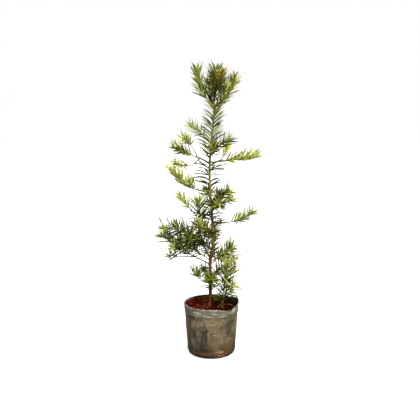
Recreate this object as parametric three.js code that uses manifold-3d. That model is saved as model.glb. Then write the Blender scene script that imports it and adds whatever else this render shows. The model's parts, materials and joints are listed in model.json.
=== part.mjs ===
// A young podocarpus in its nursery grow bag: one slender trunk, a second stem from the soil,
// bare boughs, leafy shoots all round them, and the leaves that the trunk itself still carries.
// Millimetres, +Z up, origin in the middle of the bag's flat underside.
import * as THREE from "three";
import { mergeVertices } from "three/addons/utils/BufferGeometryUtils.js";
import Module from "manifold-3d";

const wasm = await Module();
wasm.setup();

// ---- Driving dimensions ----

const BAG = {
  height: 161, // rim above the ground
  footRadius: 58, // flat underside
  cornerHeight: 17, // rounded bottom edge
  lowRadius: 73, // just above the rounded edge
  rimRadius: 84,
  wall: 1.5, // film with its folds
  floor: 2,
  cuffFoot: 133, // lower edge of the turned-down cuff
  cuffProud: 1.3,
  crumple: 1.1,
  segments: 28,
};
// Where the slack rim stands up or sags, and how far it leans out: degrees, then mm.
const RIM_TURNS = [
  { angle: 20, halfWidth: 17, lift: 5, lean: 3.5 },
  { angle: -48, halfWidth: 21, lift: -6.5, lean: 1.5 },
];
// Slanting folds of the film: share of the crumple, folds round the bag, phase, and the height
// over which one slants by a radian.
const FOLDS = [
  [0.5, 3, 1.3, 45],
  [0.3, 5, -0.7, -30],
  [0.2, 11, 0, 18],
];
const SOIL = {
  level: 147,
  seatRadius: 52, // level round the stems
  lumpRadius: 66,
  lumpLevel: 149,
  lumps: 1.5,
  wallLevel: 152,
  wallGap: 0.9,
};
// Where the soil has sunk beside the wall, and where it is heaped against it.
const SOIL_TURNS = [
  { angle: 8, halfWidth: 32, lift: -14 },
  { angle: 125, halfWidth: 50, lift: 4 },
];
const TRUNK = {
  top: 765,
  footRadius: 5.5,
  topRadius: 2.25,
  flare: 1.2, // more radius at the soil
  flareHeight: 11,
  buttresses: 5,
  buttressShare: 0.25,
  sides: 9,
  steps: 22,
  crowding: 1.4, // its sections stand closer together near the soil
};
// Where the trunk's lean turns: [height, x, y].
const TRUNK_TURNS = [
  [147, -3, 0],
  [285, -4, 3],
  [350, 5.5, -3],
  [565, -5.5, 4],
  [765, 8, 0],
];
const SECOND_STEM_FOOT = { x: 34, y: -15 };
const CLEAR = 0.3; // gap between neighbours
const GOLDEN = THREE.MathUtils.degToRad(137.508); // turn from one leaf to the next
const COLLAR_WALL = 0.8; // sleeve that carries the trunk's own leaves
const COLLAR_MARGIN = 12; // a shoot that starts this far below a collar still passes through it
const BOUGH_SIDES = 6;
const LIMB_STEPS = 6;
const TWIG = { sides: 3, footRadius: 1.3, perLength: 0.006, tipRadius: 0.95, triangleGain: 1.25 };
const BEND = 0.55; // a limb's bend lies this share of its chord along its first slope
const LEAF = {
  width: 6.2,
  thickness: 0.9,
  arch: 0.06, // rise of its middle, as a share of its length
  droop: 0.6, // fall of its tip, as a share of that rise
  sunk: 0.3, // its root lies this share of the stem's radius beyond the axis
  crowding: 0.85, // below 1 the leaves stand closer together near the tip
  twist: 2.4, // radians
  lengthPlay: 0.3,
  anglePlay: 0.3,
};
const LEAF_EVERY = 2; // of the leaves that the rule gives, one in two is made
const LEAF_SAMPLES = 9; // points along a leaf that are held clear of everything else
const SAMPLE_REACH = 2.4; // half the way between two of them
const COLLAR_SHARE = 0.3; // the part of a leaf that may lie close to the trunk
const GREEN_WOOD_FROM = 390; // a bough that leaves the trunk above this height is still green
const KEYS = 100; // repeatable numbers kept for each stem
const TURNS_TRIED = [0, 25, -25, 50, -50, 80]; // degrees, where a leaf would touch something
const OPEN = [68, 50]; // leaf angle to its stem at the first and last leaf
const LIFT = 0.25; // how far a leaf turns up to the light
const SIDE_TWIG = { spread: 48, share: 0.3, rise: 0.4, slope: 10, bare: 0.25, leaves: 8, keys: 50 };

// Shoots. height, reach and rise are in mm; heading (0 right, 90 back) and slope, at which the
// shoot leaves its foot, in degrees. bare is the share of its way with no leaves: a bough
// carries that share as a node of its own. leaf holds the first and the last leaf's length,
// open their angles to the stem, twigs the side twigs and tint the colour from old (0) to
// young (1). A shoot with from and at forks off that bough; any other one leaves the trunk.
const SHOOTS = [
  { name: "top_left", height: 754, heading: 163, reach: 52, rise: 100, slope: 42, bare: 0.22,
    bough: true, leaves: 32, leaf: [46, 40], open: [44, 32], tint: 0.6 },
  { name: "top_right", height: 751, heading: -5, reach: 57, rise: 83, slope: 38, bare: 0.12,
    leaves: 32, leaf: [46, 38], open: [40, 36], tint: 0.7 },
  { name: "top_front", height: 740, heading: -58, reach: 41, rise: 112, slope: 58, bare: 0.45,
    leaves: 28, leaf: [34, 30], open: [58, 42], tint: "bronze" },
  { name: "top_inner", height: 727, heading: -27, reach: 38, rise: 90, slope: 52, bare: 0.2,
    leaves: 20, leaf: [36, 30], open: [45, 30], tint: 0.7 },
  { name: "top_back", height: 749, heading: 112, reach: 48, rise: 72, slope: 48, bare: 0.1,
    leaves: 16, leaf: [40, 32], open: [50, 34], tint: 0.15 },

  { name: "upper_left_high", height: 650, heading: 155, reach: 65, rise: 46, slope: 40, bare: 0.3,
    leaves: 14, leaf: [34, 32], open: [58, 40], tint: 0.65 },
  { name: "upper_left", height: 590, heading: 176, reach: 101, rise: 44, slope: 23, bare: 0.43,
    bough: true, leaves: 27, leaf: [40, 34], open: [50, 36], tint: 0.62 },
  { name: "upper_left_tuft", from: "upper_left", at: 0.34, heading: -131, reach: 57, rise: 61,
    slope: 62, bare: 0.5, leaves: 16, leaf: [28, 28], open: [56, 40], tint: 0.7 },
  { name: "upper_left_droop", from: "upper_left", at: 0.28, heading: -139, reach: 91, rise: -7,
    slope: -40, bare: 0.5, leaves: 18, leaf: [30, 28], open: [58, 44], tint: 0.8 },
  { name: "upper_right", height: 592, heading: 3, reach: 134, rise: 15, slope: 3, bare: 0.27,
    bough: true, leaves: 36, leaf: [46, 38], open: [44, 36], lift: 0.5, tint: 0.8 },
  { name: "upper_right_fork", from: "upper_right", at: 0.2, heading: 62, reach: 52, rise: 34,
    slope: 25, bare: 0.3, leaves: 14, leaf: [32, 30], open: [50, 36], tint: 0.85 },
  { name: "upper_right_high", height: 623, heading: -32, reach: 60, rise: 35, slope: 35, bare: 0.15,
    leaves: 10, leaf: [48, 38], open: [50, 36], tint: 0.5 },
  { name: "upper_front", height: 608, heading: -71, reach: 54, rise: 30, slope: 28, bare: 0.15,
    leaves: 8, leaf: [34, 30], tint: 0.35 },
  { name: "upper_back", height: 611, heading: 84, reach: 86, rise: 22, slope: 25, bare: 0.3,
    leaves: 14, leaf: [32, 28], open: [60, 45], tint: 0.25 },

  { name: "middle_left", height: 504, heading: 171, reach: 114, rise: 55, slope: -3, bare: 0.32,
    bough: true, leaves: 30, leaf: [44, 40], open: [58, 38], lift: 0.7, tint: 0.82 },
  { name: "middle_left_inner", from: "middle_left", at: 0.22, heading: -160, reach: 32, rise: 30,
    slope: 30, bare: 0.3, leaves: 8, leaf: [34, 32], open: [50, 35], tint: 0.8 },
  { name: "middle_rising", height: 380, heading: -136, reach: 58, rise: 102, slope: 30, bare: 0.5,
    bough: true, leaves: 28, leaf: [48, 40], open: [78, 46], tint: 0.38 },
  { name: "middle_left_fork", from: "middle_rising", at: 0.45, heading: 165, reach: 70, rise: 74,
    slope: 40, bare: 0.45, leaves: 16, leaf: [38, 36], open: [52, 40], tint: 0.85 },
  { name: "middle_front_left", height: 368, heading: -113, reach: 118, rise: 69, slope: 22,
    bare: 0.55, leaves: 16, leaf: [25, 22], open: [64, 52], tint: 0.7 },
  { name: "middle_right_high", height: 474, heading: -22, reach: 48, rise: 29, slope: 25,
    bare: 0.05, leaves: 26, leaf: [44, 38], open: [64, 44], tint: 0.35 },
  { name: "middle_right", height: 454, heading: 28, reach: 66, rise: 20, slope: 15, bare: 0.2,
    leaves: 18, leaf: [38, 36], open: [58, 44], tint: 0.85 },
  { name: "middle_front", height: 442, heading: -75, reach: 80, rise: 36, slope: 30, bare: 0.3,
    leaves: 16, leaf: [36, 32], tint: 0.35 },
  { name: "middle_back", height: 478, heading: 97, reach: 97, rise: 11, slope: 20, bare: 0.25,
    leaves: 16, leaf: [38, 30], tint: 0.2 },
  { name: "middle_right_long", height: 412, heading: 4, reach: 114, rise: 24, slope: -12,
    bare: 0.43, bough: true, leaves: 24, leaf: [34, 44], open: [48, 50], lift: 0.35, tint: 0.65 },
  { name: "middle_back_right", height: 343, heading: 86, reach: 84, rise: 20, slope: 26, bare: 0.25,
    leaves: 16, leaf: [34, 28], tint: 0.2 },

  { name: "lower_left_high", height: 293, heading: -172, reach: 139, rise: 104, slope: 74,
    bare: 0.32, bough: true, leaves: 40, leaf: [52, 44], open: [72, 54], lift: 0.35, twigs: 2,
    tint: 0.3 },
  { name: "lower_left", height: 280, heading: 173, reach: 145, rise: 86, slope: 24, bare: 0.34,
    bough: true, leaves: 36, leaf: [46, 40], open: [70, 50], lift: 0.3, twigs: 1, tint: 0.42 },
  { name: "lower_left_droop", from: "lower_left", at: 0.28, heading: 162, reach: 84, rise: -2,
    slope: -6, bare: 0.6, leaves: 12, leaf: [36, 34], open: [62, 58], tint: 0.8 },
  { name: "lower_left_front", from: "lower_left_high", at: 0.23, heading: -125, reach: 78, rise: 37,
    slope: 34, bare: 0.25, leaves: 18, leaf: [50, 46], tint: 0.3 },
  { name: "lower_front", height: 356, heading: -108, reach: 73, rise: 43, slope: 35, bare: 0.2,
    leaves: 17, leaf: [50, 44], tint: 0.2 },
  { name: "lower_back", height: 362, heading: 118, reach: 119, rise: 12, slope: 30, bare: 0.25,
    leaves: 18, leaf: [46, 38], tint: 0.15 },
  { name: "lower_left_inner", height: 291, heading: -150, reach: 72, rise: 50, slope: 40,
    bare: 0.15, leaves: 18, leaf: [46, 42], tint: 0.2 },
  { name: "lower_left_back", height: 327, heading: 147, reach: 116, rise: 15, slope: 25, bare: 0.25,
    leaves: 20, leaf: [46, 40], tint: 0.3 },

  { name: "lower_right", height: 289, heading: 6, reach: 62, rise: 42, slope: 24, bare: 0.3,
    bough: true, leaves: 26, leaf: [42, 40], tint: 0.6 },
  { name: "lower_right_inner", height: 237, heading: -32, reach: 38, rise: 36, slope: 40,
    bare: 0.25, leaves: 12, leaf: [38, 32], tint: 0.2 },
  { name: "lower_right_back", height: 275, heading: 58, reach: 88, rise: 10, slope: 30, bare: 0.3,
    leaves: 18, leaf: [40, 32], tint: 0.4 },
  { name: "foot_left", height: 223, heading: 168, reach: 51, rise: 33, slope: -4, bare: 0.46,
    bough: true, leaves: 15, leaf: [35, 33], open: [60, 46], tint: 0.35 },
  { name: "foot_front", height: 215, heading: -84, reach: 50, rise: 29, slope: 30, bare: 0.25,
    leaves: 14, leaf: [34, 30], tint: 0.2 },
  { name: "foot_back", height: 236, heading: 109, reach: 74, rise: 6, slope: 24, bare: 0.3,
    leaves: 16, leaf: [34, 28], tint: 0.2 },
];
// The trunk's own leaf at its tip, and the second stem, which comes straight from the soil.
const LEADER = { name: "leader_tip", heading: 10, reach: 3, rise: 86, slope: 88, bare: 0,
  leaves: 44, leaf: [46, 46], open: [44, 30], lift: 0, tint: 0.35 };
const SECOND_STEM = { name: "second_stem", heading: 0, reach: 19, rise: 140, slope: 88, bare: 0.1,
  bough: true, leaves: 54, leaf: [44, 40], open: [74, 50], twigs: 3, tint: 0.6 };
// Leaves that the trunk still carries between its shoots, on a thin sleeve of leaf feet. sag is
// more arch, as a share of a leaf's length, and below 1 flat keeps leaves to the left and right.
const COLLARS = [
  { name: "leader_collar", low: 598, high: 756, leaves: 44, leaf: [50, 44], open: [54, 44],
    lift: 0, sag: 0.04, flat: 0.4, tint: 0.4 },
  { name: "upper_collar", low: 510, high: 584, leaves: 16, leaf: [64, 60], open: [80, 66],
    lift: 0, sag: 0.1, flat: 0.45, tint: 0.1 },
  { name: "middle_collar", low: 406, high: 470, leaves: 24, leaf: [50, 40], open: [78, 58],
    lift: 0, sag: 0.08, flat: 0.6, tint: 0.1 },
  { name: "lower_collar", low: 292, high: 352, leaves: 26, leaf: [36, 34], open: [62, 48],
    lift: 0, sag: 0.02, flat: 0.7, tint: 0.3 },
  { name: "foot_collar", low: 194, high: 246, leaves: 26, leaf: [38, 34], open: [86, 50],
    lift: 0, sag: 0, flat: 0.55, tint: 0.2 },
];
const COLOURS = {
  film: "#6e675a",
  soil: "#4a1d10",
  bark: "#5a3517",
  greenWood: "#6e6a2c",
  oldLeaf: "#2c3a1c",
  youngLeaf: "#a3a93f",
  bronzeLeaf: "#8f7a26",
};

// ---- Small tools ----

const UP = new THREE.Vector3(0, 0, 1);
const { degToRad, lerp, smoothstep } = THREE.MathUtils;

// A repeatable number from 0 to 1 for each key.
function noise(key) {
  const wave = Math.sin(key * 12.9898) * 43758.5453;
  return wave - Math.floor(wave);
}

function level(heading) {
  return new THREE.Vector3(Math.cos(heading), Math.sin(heading), 0);
}

function solid(geometry) {
  const bare = geometry.clone();
  bare.deleteAttribute("normal");
  bare.deleteAttribute("uv");
  const merged = mergeVertices(bare, 1e-4);
  const vertProperties = new Float32Array(merged.attributes.position.array);
  const triVerts = new Uint32Array(merged.index.array);
  return new wasm.Manifold(new wasm.Mesh({ numProp: 3, vertProperties, triVerts }));
}

function geometryOf(made) {
  const { vertProperties, triVerts } = made.getMesh();
  const geometry = new THREE.BufferGeometry();
  geometry.setAttribute("position", new THREE.BufferAttribute(vertProperties, 3));
  geometry.setIndex(new THREE.BufferAttribute(triVerts, 1));
  geometry.computeVertexNormals();
  return geometry;
}

// Moves each vertex of a geometry to where place(vertex) says.
function reshape(geometry, place) {
  const points = geometry.attributes.position;
  const vertex = new THREE.Vector3();
  for (let i = 0; i < points.count; i++) {
    place(vertex.fromBufferAttribute(points, i));
    points.setXYZ(i, vertex.x, vertex.y, vertex.z);
  }
  return geometry;
}

// A cut can leave a loose scrap at a limb's foot: only the body itself is kept.
function largestBody(made) {
  return made.decompose().reduce((a, b) => (b.volume() > a.volume() ? b : a));
}

const podocarpus = new THREE.Group();

function addNode(name, made, colour, roughness) {
  const material = new THREE.MeshStandardMaterial({ color: colour, roughness, metalness: 0 });
  const mesh = new THREE.Mesh(geometryOf(largestBody(made)), material);
  mesh.name = name;
  podocarpus.add(mesh);
}

function leafColour(tint) {
  if (tint === "bronze") return new THREE.Color(COLOURS.bronzeLeaf);
  return new THREE.Color(COLOURS.oldLeaf).lerp(new THREE.Color(COLOURS.youngLeaf), tint);
}

// ---- Grow bag and soil ----

// The outer wall without the cuff: a rounded foot, then a straight flare to the rim.
function wallRadius(z) {
  if (z >= BAG.cornerHeight) {
    const share = (z - BAG.cornerHeight) / (BAG.height - BAG.cornerHeight);
    return lerp(BAG.lowRadius, BAG.rimRadius - BAG.cuffProud, share);
  }
  const turn = Math.acos(1 - z / BAG.cornerHeight);
  return lerp(BAG.footRadius, BAG.lowRadius, Math.sin(turn));
}

function crumple(angle, z) {
  const wave = FOLDS.reduce(
    (sum, [share, count, phase, slant]) => sum + share * Math.sin(count * angle + phase + z / slant),
    0,
  );
  return BAG.crumple * wave * Math.min(1, z / BAG.cornerHeight);
}

// Turns a profile of [radius, height] pairs and pushes its walls in and out.
function turned(profile, settle) {
  const points = profile.map(([r, z]) => new THREE.Vector2(r, z));
  const lathe = new THREE.LatheGeometry(points, BAG.segments).rotateX(Math.PI / 2);
  return solid(
    reshape(lathe, (v) => {
      const radius = Math.hypot(v.x, v.y);
      if (radius < 1) return;
      const angle = Math.atan2(v.y, v.x);
      const moved = settle(radius, v.z, angle);
      v.set(moved.radius * Math.cos(angle), moved.radius * Math.sin(angle), moved.z);
    }),
  );
}

const CORNER_ROWS = [30, 60].map((a) => BAG.cornerHeight * (1 - Math.cos(degToRad(a))));
const WALL_ROWS = [BAG.cornerHeight, 52, 90, 118, BAG.cuffFoot];

// How near an angle is to the middle of a stretch: 1 there, and 0 far off.
function nearness(angle, stretch) {
  const away = (angle - degToRad(stretch.angle)) / degToRad(stretch.halfWidth);
  return Math.exp(-away * away);
}

function growBag() {
  const rows = [...CORNER_ROWS, ...WALL_ROWS];
  const innerRows = [...rows.filter((z) => z > BAG.floor), SOIL.wallLevel, BAG.height];
  const outer = rows.map((z) => [wallRadius(z), z]);
  const cuff = [BAG.cuffFoot + 0.5, SOIL.wallLevel, BAG.height].map((z) => [
    wallRadius(z) + BAG.cuffProud, z,
  ]);
  const inner = innerRows.map((z) => [wallRadius(z) - BAG.wall, z]).reverse();
  const profile = [
    [0, 0], [BAG.footRadius, 0], ...outer, ...cuff, ...inner,
    [wallRadius(BAG.floor) - BAG.wall, BAG.floor], [0, BAG.floor],
  ];
  return turned(profile, (radius, z, angle) => {
    const moved = { radius: radius + crumple(angle, z), z };
    if (z <= SOIL.wallLevel) return moved;
    for (const turn of RIM_TURNS) {
      moved.radius += turn.lean * nearness(angle, turn);
      moved.z += turn.lift * nearness(angle, turn);
    }
    return moved;
  });
}

// The soil fills the bag to just under its rim; it is level round the stems and rises to the wall.
function soil() {
  const foot = BAG.floor + CLEAR;
  const rows = [...CORNER_ROWS, ...WALL_ROWS].filter((z) => z > foot);
  const fill = (z) => wallRadius(z) - BAG.wall - SOIL.wallGap;
  const profile = [
    [0, foot], [fill(foot), foot], ...rows.map((z) => [fill(z), z]),
    [fill(SOIL.wallLevel), SOIL.wallLevel],
    [SOIL.lumpRadius, SOIL.lumpLevel], [SOIL.seatRadius, SOIL.level], [0, SOIL.level],
  ];
  return turned(profile, (radius, z, angle) => {
    if (z === SOIL.level) return { radius, z };
    const lifts = SOIL_TURNS.map((turn) => turn.lift * nearness(angle, turn));
    const lift = lifts.reduce((sum, one) => sum + one);
    if (z === SOIL.lumpLevel) {
      const lump = (Math.sin(7 * angle) + Math.sin(4 * angle - 1)) / 2;
      return { radius, z: z + SOIL.lumps * lump + lift / 4 };
    }
    const top = z === SOIL.wallLevel ? z + lift : z;
    return { radius: radius + fill(top) - fill(z) + crumple(angle, top), z: top };
  });
}

// ---- Trunk ----

function trunkAxis(z) {
  const last = TRUNK_TURNS.length - 1;
  const next = TRUNK_TURNS.findIndex(([height]) => z <= height);
  const i = next < 0 ? last : Math.max(1, next);
  const [z0, x0, y0] = TRUNK_TURNS[i - 1];
  const [z1, x1, y1] = TRUNK_TURNS[i];
  const share = smoothstep(z, z0, z1);
  return new THREE.Vector3(lerp(x0, x1, share), lerp(y0, y1, share), z);
}

const TRUNK_FOOT = SOIL.level + CLEAR;

function trunkRadius(z, angle = 0) {
  const share = (z - TRUNK_FOOT) / (TRUNK.top - TRUNK_FOOT);
  const flare = TRUNK.flare * Math.exp((TRUNK_FOOT - z) / TRUNK.flareHeight);
  const buttress = 1 + TRUNK.buttressShare * Math.cos(TRUNK.buttresses * angle);
  return lerp(TRUNK.footRadius, TRUNK.topRadius, share) + flare * buttress;
}

// The trunk's skin, grown outwards by a margin; all its sections are level.
function trunkSkin(margin) {
  const tube = new THREE.CylinderGeometry(1, 1, 1, TRUNK.sides, TRUNK.steps).rotateX(Math.PI / 2);
  return solid(
    reshape(tube, (v) => {
      const z = lerp(TRUNK_FOOT, TRUNK.top, (v.z + 0.5) ** TRUNK.crowding);
      const angle = Math.atan2(v.y, v.x);
      const radius = Math.hypot(v.x, v.y) * (trunkRadius(z, angle) + margin);
      const axis = trunkAxis(z);
      v.set(axis.x + radius * Math.cos(angle), axis.y + radius * Math.sin(angle), z);
    }),
  );
}

const trunkClearance = trunkSkin(CLEAR);

// ---- Limbs ----

// A limb bends in one upright plane: it leaves its foot at one slope and ends at its tip.
function limb(foot, { heading, reach, rise, slope }) {
  const away = level(degToRad(heading));
  const chord = Math.hypot(reach, rise);
  const first = BEND * chord;
  const bend = foot.clone()
    .addScaledVector(away, first * Math.cos(degToRad(slope)))
    .addScaledVector(UP, first * Math.sin(degToRad(slope)));
  const tip = foot.clone().addScaledVector(away, reach).addScaledVector(UP, rise);
  const path = new THREE.QuadraticBezierCurve3(foot, bend, tip);
  const footRadius = TWIG.footRadius + TWIG.perLength * chord;
  return {
    path,
    length: path.getLength(),
    side: level(degToRad(heading + 90)),
    radius: (t) => lerp(footRadius, TWIG.tipRadius, t),
  };
}

function frameOn(path, side, t) {
  const tangent = path.getTangent(t);
  return { point: path.getPoint(t), tangent, side, over: tangent.clone().cross(side) };
}

// The stretch of a limb from one share of its way to another, grown outwards by a margin.
function limbSolid({ path, side, radius }, from, to, sides, margin = 0) {
  const steps = Math.max(2, Math.ceil((to - from) * LIMB_STEPS));
  const gain = sides === TWIG.sides ? TWIG.triangleGain : 1;
  const tube = new THREE.CylinderGeometry(1, 1, 1, sides, steps).rotateX(Math.PI / 2);
  return solid(
    reshape(tube, (v) => {
      const t = lerp(from, to, v.z + 0.5);
      const frame = frameOn(path, side, t);
      const grown = radius(t) * gain + margin;
      const out = frame.side.clone().multiplyScalar(v.x * grown)
        .addScaledVector(frame.over, v.y * grown);
      v.copy(frame.point).add(out);
    }),
  );
}

// ---- Leaves ----

// Everything that a new leaf has to stay clear of: stretches with their radius and owner.
const taken = [];

function take(owner, points, radii) {
  for (let i = 1; i < points.length; i++) {
    taken.push({
      owner,
      line: new THREE.Line3(points[i - 1], points[i]),
      from: radii[i - 1],
      to: radii[i],
    });
  }
}

function takeLimb(owner, { path, radius }, from, to) {
  const steps = 8;
  const shares = Array.from({ length: steps + 1 }, (_, i) => lerp(from, to, i / steps));
  take(owner, shares.map((t) => path.getPoint(t)), shares.map((t) => radius(t) * TWIG.triangleGain));
}

function isClear(owner, leaf) {
  const nearest = new THREE.Vector3();
  for (let i = 1; i <= LEAF_SAMPLES; i++) {
    const share = i / LEAF_SAMPLES;
    const point = share < 0.5
      ? leaf.foot.clone().lerp(leaf.middle, share * 2)
      : leaf.middle.clone().lerp(leaf.tip, share * 2 - 1);
    const half = (LEAF.width / 2) * (1 - Math.abs(2 * share - 1));
    for (const { owner: other, line, from, to } of taken) {
      if (other === owner) continue;
      if (other === "trunk" && share < COLLAR_SHARE) continue;
      const along = line.closestPointToPointParameter(point, true);
      line.at(along, nearest);
      const reach = Math.max(half + lerp(from, to, along) + CLEAR, SAMPLE_REACH);
      if (nearest.distanceTo(point) < reach) return false;
    }
  }
  return true;
}

// Leaf number k of a shoot: it stands a golden angle on from the last one, opens from its stem,
// turns a little to the light and arches. Young leaves near the tip lie closer to the stem.
function leafAt(shoot, stem, k, turn) {
  const share = (k + 0.5) / shoot.leaves;
  const key = stem.key * KEYS + k;
  const t = lerp(stem.from, 1, share ** LEAF.crowding);
  const frame = frameOn(stem.path, stem.side, t);
  const angle = k * GOLDEN + stem.key + degToRad(turn);
  const [first, last] = shoot.open ?? OPEN;
  const open = degToRad(lerp(first, last, share)) * (1 + LEAF.anglePlay * (noise(key) - 0.5));
  const out = frame.side.clone().multiplyScalar(Math.cos(angle))
    .addScaledVector(frame.over, Math.sin(angle) * (shoot.flat ?? 1))
    .normalize();
  const direction = frame.tangent.clone().multiplyScalar(Math.cos(open))
    .addScaledVector(out, Math.sin(open))
    .addScaledVector(UP, shoot.lift ?? LIFT)
    .normalize();
  const length = lerp(shoot.leaf[0], shoot.leaf[1], share) *
    (1 + LEAF.lengthPlay * (noise(key + 0.5) - 0.5));
  const foot = frame.point.addScaledVector(out, -LEAF.sunk * stem.radius(t));
  const across = frame.tangent.clone().cross(direction).normalize()
    .applyAxisAngle(direction, LEAF.twist * (noise(key + 0.25) - 0.5));
  const face = direction.clone().cross(across);
  const arch = length * (LEAF.arch + (shoot.sag ?? 0));
  const tip = foot.clone().addScaledVector(direction, length).addScaledVector(face, -LEAF.droop * arch);
  const middle = foot.clone().lerp(tip, 0.5).addScaledVector(face, arch);
  return { foot, middle, tip, across, face };
}

// A stretched octahedron: root, tip, and a flat ring of four at the middle.
function leafSolid({ foot, middle, tip, across, face }) {
  return solid(
    reshape(new THREE.OctahedronGeometry(1), (v) => {
      const place = v.z < -0.5 ? foot : v.z > 0.5 ? tip : middle;
      const right = (v.x * LEAF.width) / 2;
      const over = (v.y * LEAF.thickness) / 2;
      v.copy(place).addScaledVector(across, right).addScaledVector(face, over);
    }),
  );
}

function leavesOn(owner, shoot, stem) {
  const made = [];
  for (let k = shoot.leaves - 1; k >= 0; k -= LEAF_EVERY) {
    for (const turn of TURNS_TRIED) {
      const leaf = leafAt(shoot, stem, k, turn);
      if (!isClear(owner, leaf)) continue;
      take(owner, [leaf.foot, leaf.middle, leaf.tip], [0, LEAF.width / 2, 0]);
      made.push(leafSolid(leaf));
      break;
    }
  }
  return made;
}

// ---- Shoots: a bare bough, then a mass of leaves on one stem ----

const limbs = new Map();

function placeShoot(shoot, foot, key) {
  const made = limb(foot, shoot);
  const parent = shoot.from ? limbs.get(shoot.from) : undefined;
  const gap = shoot.bough ? CLEAR / made.length : 0;
  const from = shoot.bough ? shoot.bare + gap : 0;
  const entry = { shoot, ...made, key, parent, stemFrom: from, from: Math.max(from, shoot.bare) };
  limbs.set(shoot.name, entry);
  if (shoot.bough) takeLimb("bough_" + shoot.name, made, 0, shoot.bare);
  takeLimb("foliage_" + shoot.name, made, from, 1);
  return entry;
}

// Side twigs leave the stem left and right in turn and rise a little.
function sideTwigs(entry) {
  const { shoot, path, length, key, from } = entry;
  return Array.from({ length: shoot.twigs ?? 0 }, (_, j) => {
    const t = lerp(from, 1, (j + 0.6) / (shoot.twigs + 1.2));
    const reach = length * (1 - from) * SIDE_TWIG.share;
    const heading = shoot.heading + (j % 2 ? -1 : 1) * SIDE_TWIG.spread;
    const way = { heading, reach, rise: reach * SIDE_TWIG.rise, slope: SIDE_TWIG.slope };
    const twig = limb(path.getPoint(t), way);
    const twigShoot = { ...shoot, leaves: SIDE_TWIG.leaves };
    return { ...twig, shoot: twigShoot, key: key + SIDE_TWIG.keys + j, from: SIDE_TWIG.bare };
  });
}

// What a limb's foot is cut back from: the bough that it forks off, or the trunk.
function clearanceAt({ parent }) {
  if (!parent) return trunkClearance;
  return limbSolid(parent, 0, parent.shoot.bare, BOUGH_SIDES, CLEAR);
}

function addBough(entry) {
  const { shoot } = entry;
  const made = limbSolid(entry, 0, shoot.bare, BOUGH_SIDES);
  const seated = entry.onSoil ? made : made.subtract(clearanceAt(entry));
  const colour = shoot.height > GREEN_WOOD_FROM ? COLOURS.greenWood : COLOURS.bark;
  addNode("bough_" + shoot.name, seated, colour, 0.8);
}

function addFoliage(entry) {
  const { shoot } = entry;
  const owner = "foliage_" + shoot.name;
  const stem = limbSolid(entry, entry.stemFrom, 1, TWIG.sides);
  const twigs = sideTwigs(entry);
  const stems = [stem, ...twigs.map((twig) => limbSolid(twig, 0, 1, TWIG.sides))];
  const leaves = [entry, ...twigs].flatMap((each) => leavesOn(owner, each.shoot, each));
  const whole = wasm.Manifold.union([...stems, ...leaves]);
  const seated = shoot.bough || entry.onTrunkTip ? whole : whole.subtract(clearanceAt(entry));
  addNode(owner, seated, leafColour(shoot.tint), 0.5);
}

// A collar is the trunk's skin grown to a thin sleeve, cut clear of the trunk and of each limb
// that passes through it, with its leaves.
function addCollar(collar, key) {
  const heightAt = (t) => lerp(collar.low, collar.high, t);
  const axis = { getPoint: (t) => trunkAxis(heightAt(t)), getTangent: () => UP.clone() };
  const radius = (t) => trunkRadius(heightAt(t)) + CLEAR + COLLAR_WALL;
  const stem = { path: axis, side: level(0), key, from: 0, radius };
  const slab = new THREE.CylinderGeometry(BAG.footRadius, BAG.footRadius, collar.high - collar.low, 8);
  slab.rotateX(Math.PI / 2).translate(0, 0, heightAt(0.5));
  const sleeve = trunkSkin(CLEAR + COLLAR_WALL).intersect(solid(slab));
  const owner = "foliage_" + collar.name;
  const leaves = leavesOn(owner, collar, stem);
  let whole = wasm.Manifold.union([sleeve, ...leaves]).subtract(trunkClearance);
  for (const entry of limbs.values()) {
    const { height, bough } = entry.shoot;
    if (!(height > collar.low - COLLAR_MARGIN && height < collar.high)) continue;
    const sides = bough ? BOUGH_SIDES : TWIG.sides;
    whole = whole.subtract(limbSolid(entry, 0, 0.3, sides, CLEAR));
  }
  addNode(owner, whole, leafColour(collar.tint), 0.5);
}

// ---- The whole plant ----

addNode("grow_bag", growBag(), COLOURS.film, 0.45);
addNode("soil", soil(), COLOURS.soil, 0.95);
addNode("trunk", trunkSkin(0), COLOURS.bark, 0.85);

const rows = TRUNK.steps * 2;
const trunkRows = Array.from({ length: rows }, (_, i) => lerp(TRUNK_FOOT, TRUNK.top, i / (rows - 1)));
take("trunk", trunkRows.map(trunkAxis), trunkRows.map((z) => trunkRadius(z)));

const tip = trunkAxis(TRUNK.top).addScaledVector(UP, CLEAR);
placeShoot(LEADER, tip, 1).onTrunkTip = true;
const secondFoot = new THREE.Vector3(SECOND_STEM_FOOT.x, SECOND_STEM_FOOT.y, TRUNK_FOOT);
placeShoot(SECOND_STEM, secondFoot, 2).onSoil = true;
SHOOTS.forEach((shoot, i) => {
  const foot = shoot.from ? limbs.get(shoot.from).path.getPoint(shoot.at) : trunkAxis(shoot.height);
  placeShoot(shoot, foot, i + 3);
});

for (const entry of limbs.values()) if (entry.shoot.bough) addBough(entry);
for (const entry of limbs.values()) addFoliage(entry);
COLLARS.forEach((collar, i) => addCollar(collar, i + 60));

export default podocarpus;
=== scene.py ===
"""A young podocarpus in its nursery grow bag.

The trunk, boughs, shoots and leaves grow by the same rule and from the same sizes as the solids
that they stand for, with more leaves, each in its own outline. Lengths are in millimetres until a
mesh is made, where MM turns them into metres.
"""

import json
import math
from dataclasses import dataclass, replace

import bmesh
import bpy
import numpy as np
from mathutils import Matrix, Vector
from mathutils import noise as lumps

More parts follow.
